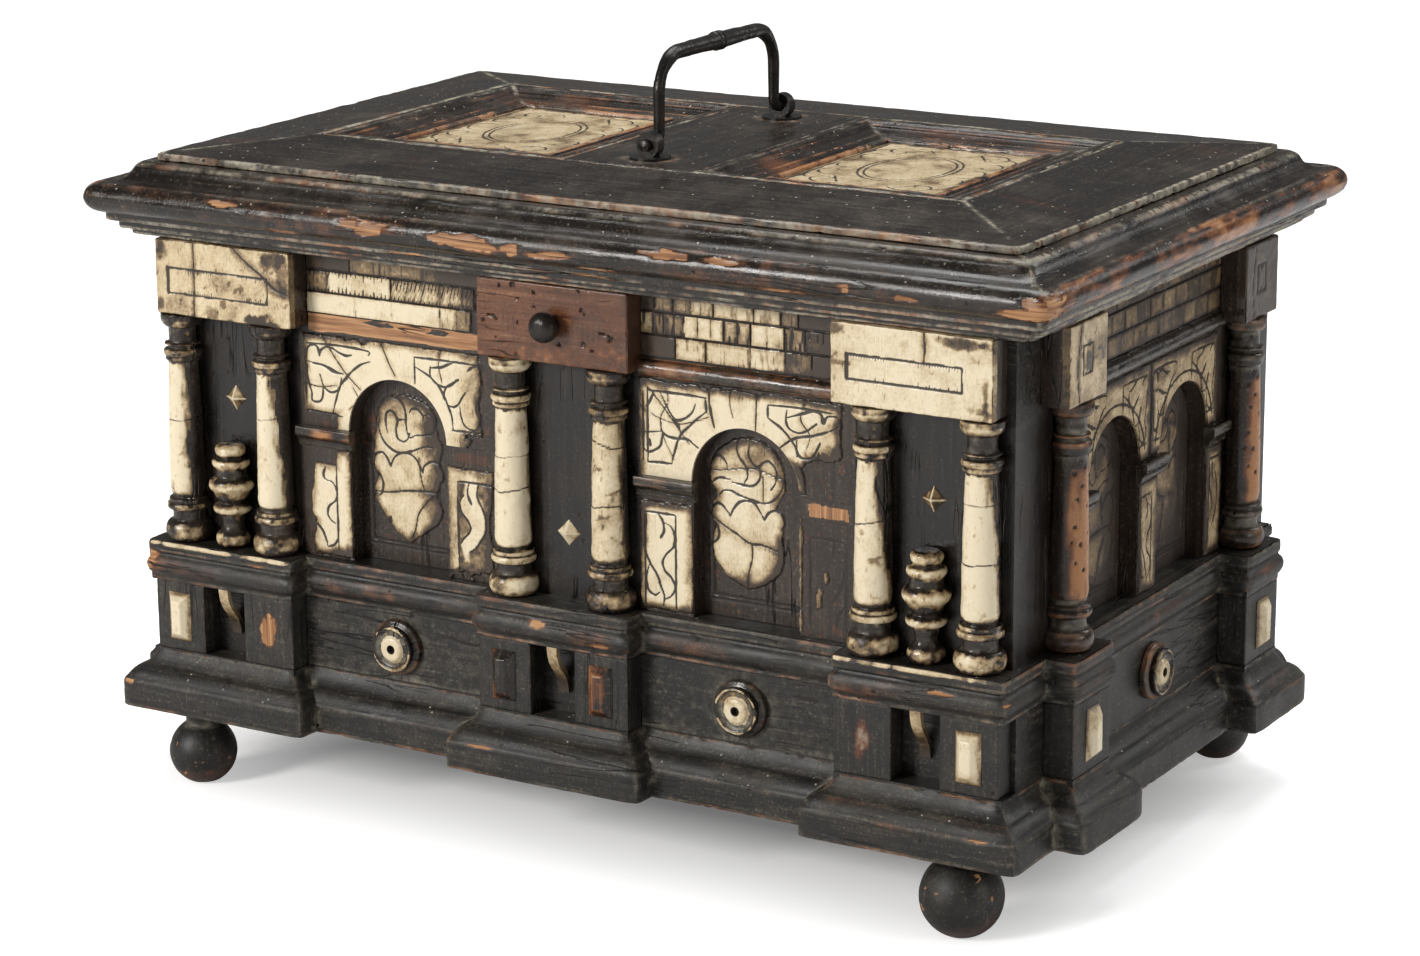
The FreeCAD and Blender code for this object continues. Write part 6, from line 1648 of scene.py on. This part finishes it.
COLUMN = ((0, 0), (8.7, 0), (8.7, 9.0, 1.8), (7.2, 9.0), (7.2, 13.6), (8.7, 13.6), (8.7, 17.0, 0.9),
          (8.2, 17.0), (8.2, 19.0, 0.5), (6.6, 19.0), (7.7, 26.5, 0.6), (6.5, 78.1, 0.25), (7.3, 78.1),
          (7.3, 80.1, 0.5), (7.5, 80.1), (7.5, 83.5, 0.9), (6, 83.5), (6, 84.7), (7.8, 84.7), (7.8, 86),
          (6, 86), (6, 92.5), (6.8, 92.5), (9.0, 95.9, 0.5), (9.0, 98.5), (0, 98.5))
URN = ((0, 0), (6.0, 0), (6.0, 6.8, 1.7), (5.2, 7.6), (4.8, 10.6, -0.3), (5.4, 14.1), (7.4, 14.9),
       (7.4, 18.5, 0.9), (5.4, 19.3), (7.8, 23.3, 0.3), (8.35, 24.1), (8.35, 29.9, 1.45), (6.9, 30.7),
       (6.7, 33.8), (7.4, 34.6), (7.4, 38.2, 0.9), (5.4, 39.0), (6.6, 41.4, 0.3), (6.4, 43.2, 0.3),
       (4.4, 44.6, 0.3), (0, 44.8))
# Heights, and how much bone shows at each of them
COLUMN_ZONES = (
    (0, 1.5, 3, 7, 8.7, 9.2, 13.3, 13.9, 16.5, 17.0, 17.4, 18.6, 19.2, 78.0, 78.3, 79.9, 80.2, 80.7, 83.0,
     83.6, 84.6, 84.9, 85.9, 86.2, 92.3, 92.8, 95.5, 96.2, 98.2, 98.5),
    (0.2, 0.5, 0.9, 0.85, 0.3, 0.0, 0.05, 0.8, 1.0, 0.15, 0.8, 0.8, 0.1, 0.1, 0.8, 0.75, 0.15, 0.9, 0.95,
     0.1, 0.0, 0.6, 0.55, 0.02, 0.12, 0.6, 1.0, 0.5, 0.8, 0.4))
URN_ZONES = (
    (0, 2, 5, 7, 9, 13, 15, 17, 18.6, 20, 22, 24.5, 27, 29.5, 31, 33, 35, 37.5, 38.6, 40.5, 42.5, 44.8),
    (0.05, 0.5, 0.6, 0.1, 0.12, 0.2, 0.7, 0.85, 0.3, 0.05, 0.3, 0.6, 0.9, 0.4, 0.05, 0.15, 0.7, 0.8, 0.1,
     0.75, 0.8, 0.3))
SHAFT_LOW, SHAFT_HIGH, LEFT_BORDER = 19.4, 77.6, -112.0


def bearing(local):
    """Degrees round a turning from its front, positive to the right."""
    return np.degrees(np.arctan2(local[..., 0], -local[..., 1]))


def cracked(made, cracks, seed):
    """Dark rings where a turning has broken across: each is a height, a tilt and a weight."""
    local = made["local"]
    ring = np.zeros(local.shape[:2])
    for height, tilt, weight in cracks:
        off = np.abs(local[..., 2] - height - tilt * local[..., 0] - 0.7 * noise(made["p"], 6, seed + 8))
        ring = most(ring, weight * (1 - ease(off, 0.12, 0.5)))
    return ring


def bone_turning(made, zones, border, rings, grey, cracks, seed, shaft=True):
    """Bone under worn black: a clear strip on the shaft up to a ragged border, and patches on the rings.

    The border is five bearings from the shaft's foot to its head.
    """
    local = made["local"]
    p = made["p"]
    level = local[..., 2]
    angle = bearing(local)
    blot = rough(p, 8, seed)
    fine = rough(p, 2.0, seed + 6)
    comb = rough(p * (1, 1, 0.16), 1.6, seed + 9)
    drift = rough(p * (0.05, 0.05, 1), 12, seed + 12)
    edge = np.interp(level, (20, 32, 46, 62, 77), border)
    gap = least(edge + 9 * drift + 11 * comb - angle, angle - LEFT_BORDER)
    side = ease(gap, -6, 5)
    patch = np.interp(level, zones[0], zones[1]) * rings + 0.30 * blot + 0.28 * fine
    right = ease(edge + 26 + 14 * blot - angle, -10, 12)
    bone = unit(patch + 0.1) * right * ease(angle - LEFT_BORDER, -10, 10)
    stain = np.clip(0.62 - 0.85 * (patch - 0.5), 0.05, 0.85)
    if shaft:
        on = (level > SHAFT_LOW) & (level < SHAFT_HIGH)
        foot = unit((level - SHAFT_LOW - 0.8) / 6.0)
        head = unit((SHAFT_HIGH - level + 0.8 * fine) / 2.2)
        tongue = np.sqrt(unit(1 - (1 - foot) ** 2)) * np.sqrt(unit(1 - (1 - head) ** 2))
        aside = np.abs(angle - (edge + LEFT_BORDER) / 2)
        gap = least(gap, 62 * (tongue - 0.35 + 0.1 * fine) - aside * 0.12)
        bone = np.where(on, ease(gap, -3, 3), bone)
        spot = ease(rough(p, 5, seed + 15) + 0.3 * fine, 0.6, 1.0)
        shade = grey + 0.6 * (1 - ease(gap + 9 * blot, 1, 24)) + 0.2 * unit(blot) + 0.4 * spot
        stain = np.where(on, shade, stain)
    ring = cracked(made, cracks, seed)
    pits = ease(comb + 0.3 * fine, 0.75 - 0.5 * grey, 1.0) * (0.35 + grey)
    made["bone"] = bone
    made["stain"] = stain + grey * 0.4 + 0.25 * ease(ring, 0.1, 0.7)
    made["ink"] = unit(most(0.9 * ring, pits))
    made["wear"] = 0.25 * unit(made["edge"]) * (0.5 + blot) + 0.12 * unit(blot)
    made["dust"] = 0.35 * unit(-made["edge"]) * unit(0.4 + fine)
    sunk = 0.10 * (1 + fine) + 0.12 * (1 + blot) + 0.25 * ring + 0.22 * (1 - side) * shaft * unit(bone)
    made["p"] = p - normals(made) * np.clip(sunk, 0, 0.8)[..., None]
    return made


# For each front column the border of its clear strip, the bone on its rings, its greyness and its cracks
COLUMN_LOOKS = (((56, 48, 46, 46, 42), 0.5, 0.03, ((53, 0.05, 0.9),)),
                ((74, 66, 52, 46, 42), 0.55, 0.0, ((59, 0.02, 0.7),)),
                ((110, 106, 100, 104, 98), 1.0, 0.0, ((58, 0.05, 0.7), (44, 0.05, 1.0))),
                ((92, 88, 84, 82, 78), 0.6, 0.16, ((68.5, -0.25, 1.0), (43, 0.1, 0.9))),
                ((92, 84, 60, 48, 40), 0.85, 0.03, ((53, 0.22, 0.9),)),
                ((98, 94, 84, 68, 52), 0.65, 0.0, ((66, 0.05, 0.8), (43, 0.03, 1.0))))
parts = []
for number, (middle, sign) in enumerate((m, s) for m in (-PAIR, 0, PAIR) for s in (-1, 1)):
    place = (middle + sign * COLUMN_HALF, -WALL_Y - COLUMN_STAND, SILL)
    made = lathe(COLUMN, place, UPRIGHT, 64, 0.6, COLUMN_STAND)
    limit, rings, grey, cracks = COLUMN_LOOKS[number]
    parts.append(bone_turning(made, COLUMN_ZONES, limit, rings, grey, cracks, 191 + 5 * number))
piece("columns_front_bone", "case", COLUMN_WOOD, parts, ["columns_front"])
parts = []
for number, sign in enumerate((-1, 1)):
    made = lathe(URN, (sign * PAIR, -WALL_Y - COLUMN_STAND, SILL), UPRIGHT, 64, 0.5, COLUMN_STAND)
    rings = 1.15 + 0.1 * number
    parts.append(bone_turning(made, URN_ZONES, (88,) * 5, rings, 0.03, (), 231 + number, False))
worn("urns", "case", COLUMN_WOOD, parts)

# Bearing, height and radius; a degree round the shaft is ROUND millimetres
COLUMN_HOLES = ((-30, 76, 1.0), (-52, 71, 1.2), (-12, 73.5, 0.9), (-40, 61, 0.9), (0, 58, 0.8),
                (-20, 66, 1.0), (-48, 50, 0.9), (8, 47, 0.7), (-28, 43, 1.0), (-15, 33, 1.0), (-45, 36, 0.8),
                (12, 63, 0.7), (-58, 44, 0.8))
ROUND = 0.122
parts = []
for number, (sx, sy) in enumerate(((1, -1), (1, 1), (-1, -1), (-1, 1))):
    axes = ((0, sx, 0), (-sx, 0, 0), (0, 0, 1))
    place = (sx * (WALL_X + COLUMN_STAND), sy * END_CENTRE, SILL)
    made = lathe(COLUMN, place, axes, 56, 0.75, COLUMN_STAND)
    rub(made, 241 + number, 0.7)
    p = made["p"]
    level = made["local"][..., 2]
    shaft = ease(level, 18, 22) * (1 - ease(level, 70, 76))
    angle = bearing(made["local"])
    # Orange laid over the face turned out from the end, fading dark to both sides: rubbed wood, and painted
    # light and shade on the turning.
    lit_rub = 1 - ease(np.abs(angle + 12 * sx) + 26 * rough(p * (1, 1, 0.4), 8, 251), 20, 66)
    flow = rough(p * (1, 1, 0.15), 3, 252) + 0.6 * rough(p, 14, 253)
    lay(made, "wear", shaft * (0.22 + 0.95 * lit_rub * (0.9 + 0.45 * flow)))
    hole = np.zeros(level.shape)
    for turn, height, radius in COLUMN_HOLES:
        off = np.hypot((angle - turn * sx) * ROUND, level - height)
        hole = most(hole, 1 - ease(off, radius * 0.75, radius * 1.1))
    made["ink"] = unit(hole)
    made["p"] = p - normals(made) * (0.5 * hole)[..., None]
    parts.append(made)
worn("columns_ends", "case", COLUMN_WOOD, parts)

FOOT_FLAT, FOOT_NECK = 6.0, 7.0


def ball(x, y, diameter, seed):
    """A ball foot: circle cut off at its flat and its neck, r*r = R*R - (z - c)^2."""
    radius = diameter / 2
    low = math.sqrt(radius ** 2 - FOOT_FLAT ** 2)
    top = math.sqrt(radius ** 2 - FOOT_NECK ** 2)
    angle = np.linspace(math.atan2(-low, FOOT_FLAT), math.atan2(top, FOOT_NECK), 26)
    outline = [(0, 0)] + [(radius * math.cos(a), low + radius * math.sin(a)) for a in angle]
    outline += [(FOOT_NECK, PLINTH), (0, PLINTH)]
    made = rub(lathe(outline, (x, y, 0), UPRIGHT, 60, 0.9), seed, 0.2, dent=0.15)
    p = made["p"]
    made["p"][..., 2] = most(p[..., 2], 0)
    fleck = ease(rough(p, 3, seed + 1) + 0.4 * rough(p, 14, seed + 2), 0.75, 1.1)
    foot = 1 - ease(p[..., 2] + 3 * rough(p, 6, seed), 4, 12)
    lay(made, "wear", 0.25 * ease(rough(p, 12, seed + 1), 0.3, 1.0) + 0.35 * foot)
    made["raw"] = 0.7 * fleck
    return made


FEET = ((-182.5, -128.5, 29.0), (182.5, -128.5, 33.5), (-182.5, 114, 29.0), (182.5, 114, 29.0))
worn("ball_feet", "case", MATT,
     [ball(x, y, size, 261 + number) for number, (x, y, size) in enumerate(FEET)])

BAIL_LOW, BAIL_HIGH = 280.2, 315.2
BAIL_PATH = ((-60, BAIL_LOW), (-51, BAIL_LOW), (-47, 284.2, 1.17), (-47, 299.2), (-31, BAIL_HIGH, -4.69),
             (31, BAIL_HIGH), (47, 299.2, -4.69), (47, 284.2), (51, BAIL_LOW, 1.17), (60, BAIL_LOW))
ROD, ROD_END, RING = 2.3, 0.02, 4.1


def bail():
    """A forged rod: a circle carried along the handle's line, thicker at the grip and its rings, hammered."""
    line, _ = traced(BAIL_PATH, 0.5, 2, closed=False)
    d = np.gradient(line, axis=0)
    d = d / np.linalg.norm(d, axis=1)[:, None]
    y = np.abs(line[:, 0])
    grip = ease(line[:, 1], BAIL_HIGH - 7, BAIL_HIGH - 0.5)
    radius = ROD + 0.2 * ease(line[:, 1], 284, 300)
    radius = radius + grip * (0.7 + 0.5 * bell(y, 16))
    radius = np.where((grip > 0.9) & (y > 0.7) & (y < 2.2), RING, radius)
    radius[0] = radius[-1] = ROD_END
    a = np.linspace(0, 2 * np.pi, 40, endpoint=False)
    radius = radius[:, None]
    p = stacked(radius * np.cos(a), line[:, :1] + radius * np.sin(a) * d[:, 1:],
                line[:, 1:] - radius * np.sin(a) * d[:, :1])
    made = {"p": p, "wrap_v": True}
    sunk = np.clip(0.2 * rough(p, 7, 271) + 0.1, 0, 0.4) * (y < 46)[:, None]
    made["p"] = p - normals(made) * sunk[..., None]
    return made


piece("bail_forged", "bail", IRON, [bail()], ["bail_handle"])


# Stage, light and camera, in metres

FLOOR_HALF = 6.0
NEAR, SHADOW_REACH = (0.15, 0.06, 0), 0.11


def stage():
    """A broad pale floor: white to the camera away from the casket, plain near it for the shadow."""
    x, y = np.meshgrid((-FLOOR_HALF, FLOOR_HALF), (-FLOOR_HALF, FLOOR_HALF))
    mesh = bpy.data.meshes.new("floor")
    mesh.from_pydata(stacked(x, y, 0.0).reshape(-1, 3).tolist(), [], [(0, 1, 3, 2)])
    g = Graph(bpy.data.materials.new("pale_floor"))
    seen = g.add("ShaderNodeLightPath").outputs["Is Camera Ray"]
    far = g.place["Object"]
    nil = (0, 0, 0)
    for kind, other in (("ABSOLUTE", nil), ("SUBTRACT", NEAR), ("MAXIMUM", nil), ("LENGTH", nil)):
        step = g.add("ShaderNodeVectorMath")
        step.operation = kind
        g.feed(step.inputs[0], far)
        g.feed(step.inputs[1], other)
        far = step.outputs["Value" if kind == "LENGTH" else "Vector"]
    rise = g.between(far, 0.0, SHADOW_REACH, 0.14, 0.68)
    cloth = g.add("ShaderNodeBsdfDiffuse", Color=(0.82, 0.82, 0.82, 1.0))
    glow = g.add("ShaderNodeEmission", Color=(1.0, 1.0, 1.0, 1.0), Strength=g.times(seen, rise))
    both = g.add("ShaderNodeAddShader")
    g.feed(both.inputs[0], cloth.outputs[0])
    g.feed(both.inputs[1], glow.outputs[0])
    g.add("ShaderNodeOutputMaterial", Surface=both.outputs[0])
    mesh.materials.append(g.owner)
    floor = placed("floor", mesh)
    floor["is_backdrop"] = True


def turned_to(back, place, roll=0.0):
    """A pose whose Z points back from the aim and whose X is level, but for a roll about Z."""
    back = np.array(back, float) / np.linalg.norm(back)
    right = np.cross((0, 0, 1), back)
    right = right / np.linalg.norm(right)
    rise = np.cross(back, right)
    pose = np.eye(4)
    pose[:3, 0] = math.cos(roll) * right + math.sin(roll) * rise
    pose[:3, 1] = math.cos(roll) * rise - math.sin(roll) * right
    pose[:3, 2] = back
    pose[:3, 3] = place
    return Matrix(pose.tolist())


def lamp(name, place, aim, size, power, colour=(1.0, 1.0, 1.0)):
    """A flat lamp turned to its aim."""
    light = bpy.data.lights.new(name, "AREA")
    light.shape = "RECTANGLE"
    light.size, light.size_y = size
    light.energy = power
    light.color = colour
    placed(name, light).matrix_world = turned_to(np.subtract(place, aim), place)


def studio():
    """A room that is white to the camera and dimmer as a light, with key, top, side and rim lamps."""
    world = bpy.data.worlds.new("studio")
    bpy.context.scene.world = world
    g = Graph(world)
    path = g.add("ShaderNodeLightPath").outputs
    mirrored = g.between(path["Is Glossy Ray"], 0.0, 1.0, 0.42, 0.16)
    level = g.between(path["Is Camera Ray"], 0.0, 1.0, mirrored, 1.0)
    sky = g.add("ShaderNodeBackground", Strength=level)
    g.add("ShaderNodeOutputWorld", Surface=sky.outputs[0])
    lamp("key", (-0.85, -1.85, 0.95), (0, -0.08, 0.15), (0.55, 0.55), 32.0, (1.0, 0.98, 0.95))
    lamp("top", (-0.1, 0.45, 1.6), (0, 0, 0.2), (1.3, 0.7), 16.0)
    lamp("side", (1.8, -0.2, 0.7), (0.1, 0, 0.15), (0.4, 0.4), 4.0, (1.0, 0.96, 0.90))
    lamp("rim", (1.0, 1.2, 1.3), (0.19, 0, 0.16), (0.5, 0.9), 9.0)


AZIMUTH, ELEVATION, ROLL = math.radians(30.65), math.radians(15.05), math.radians(-0.38)
EYE = (0.8377, -1.4220, 0.5713)
SENSOR, FOCAL = 36.0, 101.6


def camera():
    """The photograph's view: a long lens, a third of a right angle off the front and a little above."""
    level = math.cos(ELEVATION)
    back = (math.sin(AZIMUTH) * level, -math.cos(AZIMUTH) * level, math.sin(ELEVATION))
    lens = bpy.data.cameras.new("view")
    lens.sensor_fit = "HORIZONTAL"
    lens.sensor_width = SENSOR
    lens.lens = FOCAL
    made = placed("view", lens)
    made.matrix_world = turned_to(back, EYE, ROLL)
    bpy.context.scene.camera = made


stage()
studio()
camera()
bpy.context.scene.view_settings.view_transform = "Standard"
low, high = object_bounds()
